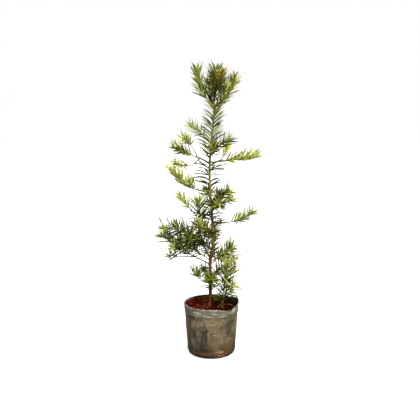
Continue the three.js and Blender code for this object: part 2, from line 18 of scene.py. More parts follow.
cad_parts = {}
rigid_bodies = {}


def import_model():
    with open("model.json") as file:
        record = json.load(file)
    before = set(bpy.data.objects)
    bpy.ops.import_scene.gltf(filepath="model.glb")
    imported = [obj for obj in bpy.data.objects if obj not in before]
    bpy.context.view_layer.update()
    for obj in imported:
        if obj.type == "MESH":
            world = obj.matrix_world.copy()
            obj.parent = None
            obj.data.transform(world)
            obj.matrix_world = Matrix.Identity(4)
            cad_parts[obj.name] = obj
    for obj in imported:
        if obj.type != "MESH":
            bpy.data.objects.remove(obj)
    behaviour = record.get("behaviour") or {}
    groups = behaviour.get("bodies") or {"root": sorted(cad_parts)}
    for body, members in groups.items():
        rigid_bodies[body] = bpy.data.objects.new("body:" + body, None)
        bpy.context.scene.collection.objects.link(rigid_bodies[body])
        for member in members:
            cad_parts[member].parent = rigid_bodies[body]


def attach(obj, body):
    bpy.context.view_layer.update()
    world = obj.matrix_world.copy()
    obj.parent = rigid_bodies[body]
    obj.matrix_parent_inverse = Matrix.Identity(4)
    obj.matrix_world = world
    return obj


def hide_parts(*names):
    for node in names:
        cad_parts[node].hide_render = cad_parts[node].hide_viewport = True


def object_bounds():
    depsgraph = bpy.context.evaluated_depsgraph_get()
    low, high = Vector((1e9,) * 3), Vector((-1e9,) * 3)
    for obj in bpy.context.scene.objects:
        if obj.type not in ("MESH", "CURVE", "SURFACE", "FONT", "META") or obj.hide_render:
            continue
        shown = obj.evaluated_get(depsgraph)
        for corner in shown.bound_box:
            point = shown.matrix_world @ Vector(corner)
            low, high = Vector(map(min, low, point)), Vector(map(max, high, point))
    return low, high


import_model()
CAD_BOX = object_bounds()

# ---- Driving dimensions ----

MM = 0.001

BAG_HEIGHT = 161
BAG_FOOT_RADIUS = 58
BAG_CORNER_HEIGHT = 17
BAG_LOW_RADIUS = 73
BAG_RIM_RADIUS = 84
BAG_WALL = 1.5
BAG_FLOOR = 2
BAG_SLACK = 4  # how much further in the film's hidden inside runs, clear of the outer creases
CUFF_FOOT = 133
CUFF_PROUD = 1.3
CRUMPLE = 1.1  # depth of the slanting folds
BAG_COLUMNS = 320
# The film's rows: across its underside, round its foot, up its wall, its cuff and its inside.
UNDERSIDE_RADII = (20, 40, 52, BAG_FOOT_RADIUS)
FOOT_TURNS = range(10, 90, 10)
WALL_ROWS = 56
CUFF_ROWS = 24
INSIDE_ROWS = 12
WALL_LAP = 2  # how far the wall runs on behind the cuff
# Rows under the cuff's lower edge: how far out from the wall and how far above that edge.
HEM_ROWS = [(0.5, 1.2), (1.0, -0.4)]
CUFF_TOP = BAG_HEIGHT - 1.2
# Rows over the rim: how far in from the cuff's face, how far below the rim, and layer.
RIM_ROWS = [(0.35, 0.35, "rim"), (1.0, 0, "rim"), (1.8, 0.4, "inside")]
INSIDE_TOP = BAG_HEIGHT - 1.6
INSIDE_DEPTH = 4  # below the soil at the wall, where the rows that show end
HIDDEN_HEIGHTS = (130, 118, 90, 52, 30, 16, 9, 4)
FLOOR_RADII = (58, 40, 20)
GRAIN_RADIUS = 78  # of the round on which the film's relief is laid out
# Where the slack rim stands up or sags, and how far it leans out: angle, half width, then mm.
RIM_TURNS = [(20, 17, 5, 3.5), (-48, 21, -6.5, 1.5)]
# Slanting folds: share of the crumple, folds round the bag, phase, height of a radian's slant.
FOLDS = [(0.5, 3, 1.3, 45), (0.3, 5, -0.7, -30), (0.2, 11, 0, 18)]
# Relief is told by its depth either way, the size of its lumps and its octaves of noise.
DENTS = (1.1, (26, 26, 40), 2)
PLEATS = (0.5, (5, 5, 60), 2)
FILM_GRAIN = (0.16, 4, 3)
FOLD_WANDER = (2.6, 30, 2)  # of the cuff's level folds, up and down
FOLD_PLAY = (1.4, 22, 2)  # how those folds come and go round the bag
HEM_WAVE = (1.1, 16, 3)  # of the cuff's lower edge, up and down
# Facets are told by the depth of the valleys between them, their size, and the share of that
# depth that lies inside the plain surface.
FILM_FACETS = (0.5, 15, 0.6)
CUFF_SLACK = 0.6  # the cuff's share of the wall's relief
# The cuff's level folds: height, depth and half height of each.
CUFF_FOLDS = [
    (155.5, 0.6, 1.8), (150, -0.7, 1.9), (145, 0.7, 1.8), (140.5, -0.7, 1.8), (136.5, 0.3, 1.7),
]
# Short creases in the wall: angle, height, half width in degrees, half height and depth.
CREASES = [
    (-88, 84.5, 7, 1.6, -2.6), (-88, 79, 7, 2.2, 1.8), (-88, 115, 6, 1.8, 1.2),
    (-52, 70, 9, 2.5, -1.4), (-118, 62, 8, 3, -1.2), (-30, 96, 7, 3, -1.4),
    (20, 75, 9, 2.6, -1.3), (75, 90, 10, 2.4, -1.4), (140, 66, 9, 3, -1.4),
    (175, 100, 8, 2.4, -1.3), (225, 84, 8, 2.6, -1.2),
]
CREASE_ENDS = 3  # half widths from a crease's middle to where it has run out
CREASE_BOW = 2.5  # its drop one half width from its middle
# Radial folds round the foot: depth, folds round the bag, radians by which their phase strays.
FOOT_FOLDS = [(1.3, 13, 2), (0.8, 29, 0)]
FOOT_FOLD_HEIGHT = 11
FOOT_FOLD_HALF = 8
# Punched holes: angle, height.
HOLES = [(-100, 92), (-12, 90), (79, 94), (168, 91)]
HOLE_RADIUS = 2.8
HOLE_PROUD = 0.1  # how far out of the film the middle of its lip lies
LIP_RADIUS = 0.45  # half the lip's width
LIP_RISE = 0.5  # and half its height
LIP_STEPS = 28
LIP_SIDES = 8
DISC_DEPTHS = (-0.6, 0.12)  # of the dark disc's back and front, over the film; the disc is painted shade
SEAM = -10.3  # x of the upright welded seam on the near side
SEAM_FORMS = [(0, 1.1, 0.5), (-2.4, 1, -0.4)]  # its ridge and groove: x from it, half width, rise
# Stains on the near side, among them painted highlights and painted shade: x, height, half width,
# half height, colour and strength.
STAINS_AND_PAINTED_LIGHT = [
    (-51, 86, 6, 15, "#35301e", 0.8), (-34, 44, 17, 13, "#37332a", 0.8),
    (-20, 30, 14, 7, "#1f180f", 0.9), (-64, 84, 4, 40, "#6b4a2a", 0.6),
    (50, 106, 9, 13, "#45432f", 0.7), (49, 69, 11, 3.5, "#40372c", 0.8),
    (67, 90, 4.5, 34, "#7a5636", 0.5), (50, 36, 10, 13, "#6e4a1f", 0.8),
    # Painted highlight on the crease's ridge at 115, then painted shade in the arched crease, here
    # and below.
    (2, 113, 10, 2.5, "#a2956f", 0.7), (-2, 81.5, 5, 2, "#1a140c", 0.95),
    (6, 84.5, 6, 2, "#1a140c", 0.95),
    (-14, 38, 8, 12, "#2b2a26", 0.7), (-30, 27, 26, 3.5, "#15100a", 0.7),
    (0, 30, 9, 12, "#474420", 0.8),
    (-74, 95, 4, 48, "#8f7f6b", 0.6), (74, 95, 4, 44, "#94805f", 0.6),
    (54, 40, 14, 20, "#7a5528", 0.5),
    # Painted highlights on the cuff: the last mark here and both marks on the next line.
    (SEAM, 82, 0.9, 32, "#a3957a", 0.6), (67, 153, 6, 6, "#d2c8b8", 0.8),
    (-45, 150, 7, 1.2, "#b9b6a6", 0.8), (-40, 143, 9, 1.2, "#b9b6a6", 0.7),
    # Painted shade round a punched hole.
    (-13, 92, 4.5, 4.5, "#15110b", 0.9),
]
# A mark's edge, in squares of distance over half size: how far noise shifts it, then where the
# mark sets in and where it is full.
MARK_WANDER = 2.4
MARK_EDGE = (2.3, -0.3)
# Rust-brown and pale marks low on its foot, over the mud and the painted undershadow.
FOOT_STAINS = [
    (-4, 11, 18, 4, "#33200f", 0.8), (-26, 18, 13, 4.5, "#61361a", 0.85),
    (27, 10, 15, 3.5, "#8a6040", 0.75), (25, 24, 12, 3, "#94764c", 0.6),
    (30, 24, 5, 2.5, "#ab8c60", 0.8), (40, 18, 6, 4.5, "#753c08", 0.95),
    (-40, 24, 14, 5, "#1c160d", 0.6),
]
FILM_TONES = [(0.38, "#2b2619"), (0.5, "#544b38"), (0.6, "#80755c")]

SOIL_LEVEL = 147
SOIL_WALL_LEVEL = 152
SOIL_SEAT_RADIUS = 52
SOIL_LUMPS = 1.5
SOIL_CLODS = (2.2, 15, 3)
SOIL_GRAIN = (0.5, 2.5, 3)
SOIL_FACETS = (1.1, 8, 0.5)
MOUND_PLACE = -3  # x of the low mound round the trunk's foot
MOUND_RISE = 3.5
MOUND_RADIUS = 16
SOIL_FIRST_RADIUS = 2  # of the first ring round the soil's middle
SOIL_WALL_GAP = 0.4
# Where it has sunk beside the wall, and where it is heaped against it: angle, half width, lift.
SOIL_TURNS = [(8, 32, -14), (125, 50, 4)]
SOIL_COLUMNS = 200
SOIL_ROWS = 44
SOIL_FOOT = BAG_FLOOR + 0.3
SOIL_SIDE_HEIGHTS = (130, 100, 60, 25, 12, 5, SOIL_FOOT)
SOIL_SIDE_GAP = 2  # from the film's hidden inside
CRUMBS = 420
CRUMB_REACH = 79  # how far from the middle crumbs lie
CRUMB_SIZES = (0.7, 3.0)  # the smallest, and how much larger the largest is
PALE_SHARE = 0.1  # of the crumbs are pale grit
CRUMB_LUMPS = (0.28, 1.0, 2)  # relief, in shares of a crumb's size
CRUMB_STRETCH = 0.5  # share by which the longest crumbs are stretched
CRUMB_HEIGHT = 0.75  # their height over their width
CRUMB_RISE = 0.35  # share of its size by which a crumb's middle lies over the soil
FIRST_CRUMB_KEY = 9000
CRUMB_KEYS = 7
FALLEN_LEAVES = 7
FALLEN_PLACES = (18, 50)  # their least distance from the middle, and how much more
FALLEN_LENGTHS = (22, 16)  # their least length, and how much more
FALLEN_REACH = 77
FALLEN_WIDTH = 3.6
FALLEN_ROLL = 1.2
FALLEN_RISES = (0.9, 1.4, 0.9)  # of a leaf's foot, middle and tip over the soil
FIRST_FALLEN_KEY = 7000
FALLEN_KEYS = 5

TRUNK_FOOT = 147.3
TRUNK_TOP = 765
TRUNK_SUNK = 8  # its foot goes on this far below the soil's level
TRUNK_FOOT_RADIUS = 5.5
TRUNK_TOP_RADIUS = 2.25
FLARE = 1.2
FLARE_HEIGHT = 11
BUTTRESSES = 5
BUTTRESS_SHARE = 0.25
TRUNK_SIDES = 40
TRUNK_ROW = 1.5
FLARE_SUNK = 2  # how far below the soil's level its flare goes on
FISSURES = (1, (1.5, 1.5, 14), 3)  # the ridges between them run where this noise is 0
RIDGE_RISE = 0.42  # of the ridges over the bottom of the fissures
RIDGE_SUNK = 0.2  # how far that bottom lies inside the plain trunk
BARK_FLAKES = (0.22, (3, 3, 9), 4)
WOOD_GRAIN = (0.1, 1.4, 2)
SCAR_STEP = 3.4  # height between one leaf scar and the next
SCAR_RISE = 0.45
SCAR_HALF_TURN = 24  # degrees
SCAR_HALF_HEIGHT = 1.3
BARK_RADIUS = 5  # of the round on which the bark's relief is laid out
# Where the trunk's lean turns: height, x, y.
TRUNK_TURNS = np.array([
    (147, -3, 0), (285, -4, 3), (350, 5.5, -3), (565, -5.5, 4), (765, 8, 0),
])
# How green the trunk's wood is at each height, from 0, old bark, to 1.
TRUNK_YOUTH = ([147, 172, 200, 330, 480, 600, 765], [0, 0.1, 0.22, 0.34, 0.55, 0.8, 1])
BARK_TONES = [
    (0, "#8c460f"), (0.1, "#63300f"), (0.22, "#55321a"), (0.3, "#5c4622"),
    (0.38, "#8a6c34"), (0.5, "#8a7038"), (0.72, "#857c3a"), (1, "#6e7028"),
]
SECOND_STEM_FOOT = (34, -15)

BEND = 0.55  # a limb's bend lies this share of its chord along its first slope
LENGTH_POINTS = 101  # along a limb, to measure its length by
TWIG_FOOT_RADIUS = 1.3
TWIG_PER_LENGTH = 0.006
TWIG_TIP_RADIUS = 0.95
SWELL = 0.7  # a limb is this share thicker right where it leaves its parent
SWELL_LENGTH = 5
TWIG_SCAR_RISE = 0.22
TWIG_GRAIN = (1, (1.6, 1.6, 4), 3)  # times the height of the limb's own relief
# How each kind of limb is made: sides, length of a row, height of its relief.
BOUGH_MAKE = (14, 1.6, 0.18)
STEM_MAKE = (9, 2.4, 0.08)
TWIG_MAKE = (8, 2.4, 0.08)
BOUGH_LAP = 0.02  # share of its way that a bough goes on inside its mass
BOUGH_GREENER = (0.1, 0.5)  # than the trunk's wood at its foot: its first and last wood
STEM_GREENER = 0.25
TWIG_YOUTHS = (0.7, 1)  # of a side twig's first and last wood

GOLDEN = 137.508
CLOSER = 2.4  # leaves made for each leaf that the rule counts
LOW_CORNER, HIGH_CORNER = np.array(CAD_BOX) / MM  # of the box round all the solids
REACH_PLAY = 9  # how far past that box a leaf may reach
LEAF_KEYS = 100
LEAF_ARCH = 0.06  # rise of its middle, as a share of its length
LEAF_DROOP = 0.6  # drop of its tip, as a share of that rise
LEAF_SUNK = 0.3  # its foot lies this share of the stem's radius beyond the stem's middle
LEAF_CROWDING = 0.85  # below 1, leaves stand closer towards the tip
LEAF_TWIST = 2.4  # radians between the most that leaves are turned about their length
LEAF_ROLL = 0.9  # and the most that their blades wind on the way to their tips
LENGTH_PLAY = 0.3  # share by which leaves differ in length
ANGLE_PLAY = 0.3  # and in their angle to the stem
LEAF_WIDTH = (2.2, 0.042)  # at no length, and more for each millimetre
LEAF_STALK = 0.5  # half width of its foot
LEAF_WIDEST = 0.78  # below 1, a leaf is widest before its middle
LEAF_FULLNESS = 0.55  # below 1, it keeps its width for longer
LEAF_FOLD = 0.2  # rise of its edges over their distance from the rib
RIB_HALF = 0.28
RIB_TOP = 0.12
RIB_DEEP = 0.34
# Shares of a leaf's length at which it has a ring of points.
LEAF_STATIONS = np.array([0.04, 0.1, 0.19, 0.31, 0.45, 0.6, 0.74, 0.86, 0.95])
MIDDLE_AGE = 0.45  # share of a shoot's way at which its leaves have its own tint
SHADE_PLAY = 0.65  # how unlike two neighbours' shades may be
BUD_LENGTH = 5
BUD_RADIUS = 1.1
BUD_PROFILE = [(0.0, 0.75), (0.25, 1), (0.6, 0.7), (0.85, 0.3)]  # shares of length, radius
TUFT = 5  # short new leaves round each bud
TUFT_KEYS = 90
TUFT_OPENS = (14, 12)  # their least angle to the stem, and how much more
TUFT_SHARES = (0.4, 0.3)  # their least share of a full leaf's length, and how much more
TUFT_ARCH = 0.05
TUFT_WIDTH = 2.2

SIDE_TWIG = {"first": 0.6, "spread": 48, "share": 0.3, "rise": 0.4, "slope": 10, "bare": 0.25,
             "leaves": 8, "keys": 50, "ages": 0.4}


@dataclass
class Shoot:
    """One leafy shoot: it leaves the trunk at a height, or forks off a parent's bough."""

    name: str
    heading: float  # 0 right, 90 back
    reach: float
    rise: float
    slope: float  # at which it leaves its foot
    bare: float  # share of its way with no leaves
    leaves: int
    leaf: tuple  # length of the first and the last leaf
    tint: float  # from 0, old, to 1, young
    height: float = 0
    parent: str = ""
    at: float = 0  # share of the parent's way
    bough: bool = False
    opens: tuple = (68, 50)  # first and last leaf's angle to the stem
    lift: float = 0.25  # how far a leaf turns up to the light
    twigs: int = 0
    bronze: bool = False
    ages: float = 0.25  # how much younger its last leaf is than its first
    flat: float = 1  # below 1, its leaves keep to its left and right
    sag: float = 0  # more arch, as a share of a leaf's length


SHOOTS = [
    Shoot("top_left", 163, 52, 100, 42, 0.22, 32, (46, 40), 0.6, height=754, bough=True,
          opens=(44, 32)),
    Shoot("top_right", -5, 57, 83, 38, 0.12, 32, (46, 38), 0.7, height=751, opens=(40, 36)),
    Shoot("top_front", -58, 41, 112, 58, 0.45, 28, (34, 30), 0.5, height=740, opens=(58, 42),
          bronze=True, ages=1.1),
    Shoot("top_inner", -27, 38, 90, 52, 0.2, 20, (36, 30), 0.7, height=727, opens=(45, 30)),
    Shoot("top_back", 112, 48, 72, 48, 0.1, 16, (40, 32), 0.15, height=749, opens=(50, 34)),

    Shoot("upper_left_high", 155, 65, 46, 40, 0.3, 14, (34, 32), 0.65, height=650, opens=(58, 40)),
    Shoot("upper_left", 176, 101, 44, 23, 0.43, 27, (40, 34), 0.62, height=590, bough=True,
          opens=(50, 36)),
    Shoot("upper_left_tuft", -131, 57, 61, 62, 0.5, 16, (28, 28), 0.7, parent="upper_left", at=0.34,
          opens=(56, 40)),
    Shoot("upper_left_droop", -139, 91, -7, -40, 0.5, 18, (30, 28), 0.8, parent="upper_left",
          at=0.28, opens=(58, 44)),
    Shoot("upper_right", 3, 134, 15, 3, 0.27, 36, (46, 38), 0.88, height=592, bough=True,
          opens=(44, 36), lift=0.5),
    Shoot("upper_right_fork", 62, 52, 34, 25, 0.3, 14, (32, 30), 0.85, parent="upper_right", at=0.2,
          opens=(50, 36)),
    Shoot("upper_right_high", -32, 60, 35, 35, 0.15, 10, (48, 38), 0.5, height=623, opens=(50, 36)),
    Shoot("upper_front", -71, 54, 30, 28, 0.15, 8, (34, 30), 0.35, height=608),
    Shoot("upper_back", 84, 86, 22, 25, 0.3, 14, (32, 28), 0.25, height=611, opens=(60, 45)),

    Shoot("middle_left", 171, 114, 55, -3, 0.32, 30, (44, 40), 0.87, height=504, bough=True,
          opens=(58, 38), lift=0.7),
    Shoot("middle_left_inner", -160, 32, 30, 30, 0.3, 8, (34, 32), 0.8, parent="middle_left",
          at=0.22, opens=(50, 35)),
    Shoot("middle_rising", -136, 58, 102, 30, 0.5, 28, (48, 40), 0.38, height=380, bough=True,
          opens=(78, 46), ages=0.9),
    Shoot("middle_left_fork", 165, 70, 74, 40, 0.45, 16, (38, 36), 0.85, parent="middle_rising",
          at=0.45, opens=(52, 40)),
    Shoot("middle_front_left", -113, 118, 69, 22, 0.55, 16, (25, 22), 0.7, height=368,
          opens=(64, 52)),
    Shoot("middle_right_high", -22, 48, 29, 25, 0.05, 26, (44, 38), 0.43, height=474,
          opens=(64, 44)),
    Shoot("middle_right", 28, 66, 20, 15, 0.2, 18, (38, 36), 0.85, height=454, opens=(58, 44)),
    Shoot("middle_front", -75, 80, 36, 30, 0.3, 16, (36, 32), 0.42, height=442),
    Shoot("middle_back", 97, 97, 11, 20, 0.25, 16, (38, 30), 0.2, height=478),
    Shoot("middle_right_long", 4, 114, 24, -12, 0.43, 24, (34, 44), 0.65, height=412, bough=True,
          opens=(48, 50), lift=0.35),
    Shoot("middle_back_right", 86, 84, 20, 26, 0.25, 16, (34, 28), 0.2, height=343),

    Shoot("lower_left_high", -172, 139, 104, 74, 0.32, 40, (52, 44), 0.3, height=293, bough=True,
          opens=(72, 54), lift=0.35, twigs=2, ages=0.6),
    Shoot("lower_left", 173, 145, 86, 24, 0.34, 36, (46, 40), 0.42, height=280, bough=True,
          opens=(70, 50), lift=0.3, twigs=1, ages=0.6),
    Shoot("lower_left_droop", 162, 84, -2, -6, 0.6, 12, (36, 34), 0.8, parent="lower_left", at=0.28,
          opens=(62, 58)),
    Shoot("lower_left_front", -125, 78, 37, 34, 0.25, 18, (50, 46), 0.3, parent="lower_left_high",
          at=0.23),
    Shoot("lower_front", -108, 73, 43, 35, 0.2, 17, (50, 44), 0.2, height=356),
    Shoot("lower_back", 118, 119, 12, 30, 0.25, 18, (46, 38), 0.15, height=362),
    Shoot("lower_left_inner", -150, 72, 50, 40, 0.15, 18, (46, 42), 0.2, height=291),
    Shoot("lower_left_back", 147, 116, 15, 25, 0.25, 20, (46, 40), 0.3, height=327),

    Shoot("lower_right", 6, 62, 42, 24, 0.3, 26, (42, 40), 0.6, height=289, bough=True),
    Shoot("lower_right_inner", -32, 38, 36, 40, 0.25, 12, (38, 32), 0.2, height=237),
    Shoot("lower_right_back", 58, 88, 10, 30, 0.3, 18, (40, 32), 0.4, height=275),
    Shoot("foot_left", 168, 51, 33, -4, 0.46, 15, (35, 33), 0.5, height=223, bough=True,
          opens=(60, 46)),
    Shoot("foot_front", -84, 50, 29, 30, 0.25, 14, (34, 30), 0.28, height=215),
    Shoot("foot_back", 109, 74, 6, 24, 0.3, 16, (34, 28), 0.28, height=236),
]
# Finer twigs that the solids leave out, in the dark inside of the crown.
FINER_TWIGS = [
    Shoot("inner_left", 170, 30, 28, 40, 0.05, 14, (32, 30), 0.12, height=322),
    Shoot("inner_right", 0, 20, 20, 40, 0.05, 10, (28, 26), 0.2, height=392),
    Shoot("inner_middle", 5, 22, 34, 50, 0.05, 12, (30, 28), 0.15, height=462),
    Shoot("lower_right_outer", -15, 38, -10, 10, 0.25, 12, (32, 28), 0.55, parent="lower_right",
          at=0.6),
    Shoot("inner_foot", 150, 18, 14, 30, 0.1, 8, (26, 24), 0.15, parent="second_stem", at=0.1),
]
LEADER = Shoot("leader_tip", 10, 3, 86, 88, 0, 44, (46, 46), 0.45, opens=(44, 30), lift=0)
SECOND_STEM = Shoot("second_stem", 0, 19, 140, 88, 0.1, 54, (44, 40), 0.55, bough=True,
                    opens=(74, 50), twigs=3, ages=1)


@dataclass
class Collar:
    """A stretch of the trunk that still carries leaves of its own, told in the words of a shoot."""

    name: str
    low: float
    high: float
    leaves: int
    leaf: tuple
    opens: tuple
    sag: float
    tint: float
    lift: float = 0
    bronze: bool = False
    ages: float = 0.25
    flat: float = 1


COLLARS = [
    Collar("leader_collar", 598, 756, 44, (50, 44), (54, 44), 0.04, 0.56, flat=0.4),
    Collar("upper_collar", 510, 584, 16, (64, 60), (80, 66), 0.1, 0.1, flat=0.45),
    Collar("middle_collar", 406, 470, 24, (50, 40), (78, 58), 0.08, 0.1, flat=0.6),
    Collar("lower_collar", 292, 352, 26, (36, 34), (62, 48), 0.02, 0.3, flat=0.7),
    Collar("foot_collar", 194, 246, 26, (38, 34), (86, 50), 0, 0.28, flat=0.55),
]
LEADER_KEY = 1
SECOND_STEM_KEY = 2
FIRST_SHOOT_KEY = 3
FIRST_COLLAR_KEY = 60

CAMERA_PLACE = (-0.00428, -2.4, 0.9045)  # in metres
CAMERA_PITCH = 10.769  # degrees that it looks down
CAMERA_LENS = 69.73

# ---- Small tools ----

UP = np.array([0.0, 0.0, 1.0])


def noise(key):
    """A repeatable number from 0 to 1 for each key."""
    wave = np.sin(key * 12.9898) * 43758.5453
    return wave - np.floor(wave)


def ranged(limits, key):
    """A number for each key: the least, and up to so much more."""
    least, more = limits
    return least + more * noise(key)


def play(width, key):
    """A number for each key, up to half that width to either side of 0."""
    return width * (noise(key) - 0.5)


def lerp(a, b, share):
    return a + (b - a) * share


def level(heading):
    angle = math.radians(heading)
    return np.array([math.cos(angle), math.sin(angle), 0.0])


def unit(vectors):
    return vectors / np.linalg.norm(vectors, axis=-1, keepdims=True)


def angles(count):
    """The angles of that many even steps round a full turn."""
    return [2 * math.pi * step / count for step in range(count)]


def swung(first, second, angle):
    """The direction at an angle from the first towards the second, which is square to it."""
    return math.cos(angle) * first + math.sin(angle) * second


def place_at(radius, angle, z):
    """The point at that distance from the middle, in that direction, at that height."""
    return radius * level(math.degrees(angle)) + z * UP


def turned(vector, axis, angle):
    """The vector turned about an axis of length 1."""
    along = axis * np.dot(axis, vector) * (1 - math.cos(angle))
    return vector * math.cos(angle) + np.cross(axis, vector) * math.sin(angle) + along


def ripple(x, y, z, make):
    """Smooth relief by its make: depth either way, size of its lumps and octaves of noise. The
    size is one number, or one for each axis."""
    depth, size, octaves = make
    across, over, tall = size if isinstance(size, tuple) else (size, size, size)
    return depth * lumps.fractal(Vector((x / across, y / over, z / tall)), 1.0, 2.0, octaves)


def facets(x, y, z, make):
    """Flat facets between sharp valleys by their make: the valleys' depth, the facets' size and
    the share of the depth that lies inside the plain surface."""
    depth, size, sunk = make
    near, second = lumps.voronoi(Vector((x / size, y / size, z / size)))[0][:2]
    return depth * (min(1.0, 2.5 * (second - near)) - sunk)


def bell(offset, width):
    return math.exp(-((offset / width) ** 2))


def angle_between(a, b):
    """Degrees from one heading to another, at most 180 either way."""
    return (a - b + 180) % 360 - 180


def added(name, data):
    """A new object in the scene."""
    thing = bpy.data.objects.new(name, data)
    bpy.context.scene.collection.objects.link(thing)
    return thing


# ---- Finishes ----


def colour(code):
    """A hex colour as the linear numbers that a socket takes."""
    parts = [int(code[i : i + 2], 16) / 255 for i in (1, 3, 5)]
    linear = [p / 12.92 if p <= 0.04045 else ((p + 0.055) / 1.055) ** 2.4 for p in parts]
    return (*linear, 1.0)


def blended(code, other, share):
    return tuple(lerp(np.array(colour(code)), np.array(colour(other)), share))


def arithmetic(operation, swapped=False):
    """An operator of plain arithmetic that adds its Math node."""
    def apply(value, other):
        first, second = (other, value) if swapped else (value, other)
        return value.shading.node("ShaderNodeMath", {"operation": operation}, {0: first, 1: second})
    return apply


class Value:
    """A shader socket that takes part in plain arithmetic."""

    def __init__(self, shading, socket):
        self.shading = shading
        self.socket = socket

    __add__ = arithmetic("ADD")
    __radd__ = arithmetic("ADD", swapped=True)
    __sub__ = arithmetic("SUBTRACT")
    __rsub__ = arithmetic("SUBTRACT", swapped=True)
    __mul__ = arithmetic("MULTIPLY")
    __rmul__ = arithmetic("MULTIPLY", swapped=True)


class Shading:
    """The nodes of a finish or of the sky."""

    def __init__(self, tree):
        self.nodes = tree.nodes
        self.links = tree.links

    def node(self, kind, settings, inputs, output=0):
        """Adds a node: its settings come first, then the values or links of its sockets."""
        node = self.nodes.new(kind)
        for key, value in settings.items():
            if key == "stops":
                self.set_stops(node.color_ramp.elements, value)
            else:
                setattr(node, key, value)
        for key, value in inputs.items():
            self.feed(node.inputs[key], value)
        return Value(self, node.outputs[output])

    def set_stops(self, elements, stops):
        while len(elements) < len(stops):
            elements.new(0.5)
        for element, (position, shade) in zip(elements, stops):
            element.position = position
            element.color = shade

    def feed(self, socket, value):
        if isinstance(value, Value):
            self.links.new(value.socket, socket)
        else:
            socket.default_value = value


class Finish(Shading):
    """A material: its constants are set at once, and what varies is set after."""

    def __init__(self, name, constants):
        self.material = bpy.data.materials.new(name)
        self.material.use_nodes = True
        super().__init__(self.material.node_tree)
        self.shader = self.nodes["Principled BSDF"]
        for socket, value in constants.items():
            self.set(socket, value)

    def set(self, socket, value):
        self.feed(self.shader.inputs[socket], value)

    def place(self, stretch=(1, 1, 1)):
        """The point on the object, in metres, with each axis multiplied."""
        point = self.node("ShaderNodeTexCoord", {}, {}, "Object")
        return self.node("ShaderNodeMapping", {}, {"Vector": point, "Scale": stretch})

    def clouds(self, size, detail=5, stretch=(1, 1, 1)):
        """Soft noise from 0 to 1 with lumps of that size in millimetres."""
        inputs = {"Vector": self.place(stretch), "Scale": 1 / (size * MM), "Detail": detail}
        return self.node("ShaderNodeTexNoise", {}, inputs, "Fac")

    def creases(self, size, stretch=(1, 1, 1)):
        """1 along the winding lines where clouds of that size cross their middle, 0 off them."""
        offset = self.clouds(size, 2, stretch) - 0.5
        away = self.node("ShaderNodeMath", {"operation": "ABSOLUTE"}, {0: offset})
        return self.stretch(away, 0.02, 0)

    def along(self, axis):
        """The place along X, Y or Z in millimetres."""
        point = self.node("ShaderNodeTexCoord", {}, {}, "Object")
        return self.node("ShaderNodeSeparateXYZ", {}, {"Vector": point}, axis) * (1 / MM)

    def stretch(self, value, low, high):
        """Where value goes from low to high, a number from 0 to 1."""
        inputs = {"Value": value, "From Min": low, "From Max": high}
        return self.node("ShaderNodeMapRange", {}, inputs)

    def mix(self, share, first, second):
        """The first colour at share 0, the second at share 1."""
        settings = {"data_type": "RGBA"}
        return self.node("ShaderNodeMix", settings, {"Factor": share, 6: first, 7: second}, 2)

    def ramp(self, share, stops):
        stops = [(position, colour(code)) for position, code in stops]
        return self.node("ShaderNodeValToRGB", {"stops": stops}, {"Fac": share})

    def bump(self, height, depth, strength=1.0):
        """Relief of that depth in millimetres."""
        inputs = {"Height": height, "Distance": depth * MM, "Strength": strength}
        self.set("Normal", self.node("ShaderNodeBump", {}, inputs))


def near_side(film):
    """1 on the bag's near side, 0 on its far side."""
    return film.stretch(film.along("Y"), 10, -10)


def with_marks(film, base, marks, wander):
    """The colour with those marks on its near side, each with a ragged edge."""
    x, z = film.along("X"), film.along("Z")
    near = near_side(film)
    for at, height, wide, tall, code, share in marks:
        across = (x - at) * (1 / wide)
        over = (z - height) * (1 / tall)
        away = across * across + over * over + wander * MARK_WANDER
        base = film.mix(film.stretch(away, *MARK_EDGE) * near * share, base, colour(code))
    return base


def wall_colour(film, dust, fine, wander):
    """Dust and rain streaks, and a warmer panel between the welded seam and the side."""
    base = film.ramp(0.6 * dust + 0.4 * fine, FILM_TONES)
    streaks = film.stretch(film.clouds(8, 4, (1, 1, 0.12)), 0.52, 0.7)
    streaked = film.mix(streaks * 0.55, base, colour("#453d2e"))
    x = film.along("X")
    past_seam = film.stretch(x + 9 * wander, SEAM - 4, SEAM + 2)
    panel = near_side(film) * past_seam * film.stretch(x, 50, 20)
    return film.mix(panel * 0.5, streaked, colour("#82694a"))


def cuff_colour(film, z):
    """Level bands, paler than the wall, and darker at the cuff's foot."""
    bands = film.clouds(7, 4, (0.25, 0.25, 1))
    banded = film.ramp(bands, [(0.36, "#4f4f43"), (0.5, "#757162"), (0.62, "#97917f")])
    return film.mix(film.stretch(z, 141, 134) * 0.45, banded, colour("#57503f"))


def muddied_and_shaded(film, clean, z, low, dust):
    """The colour with painted shade darkening it downwards, browner low down, and a painted black
    undershadow at its foot.
    """
    shaded = film.mix(film.stretch(z, 80, 5) * 0.68, clean, colour("#2a1b04"))
    brown = film.mix(low * 0.65, shaded, colour("#523016"))
    # Painted black undershadow along the foot.
    return film.mix(film.stretch(z + 8 * dust, 21, 8) * 0.93, brown, colour("#0d0804"))


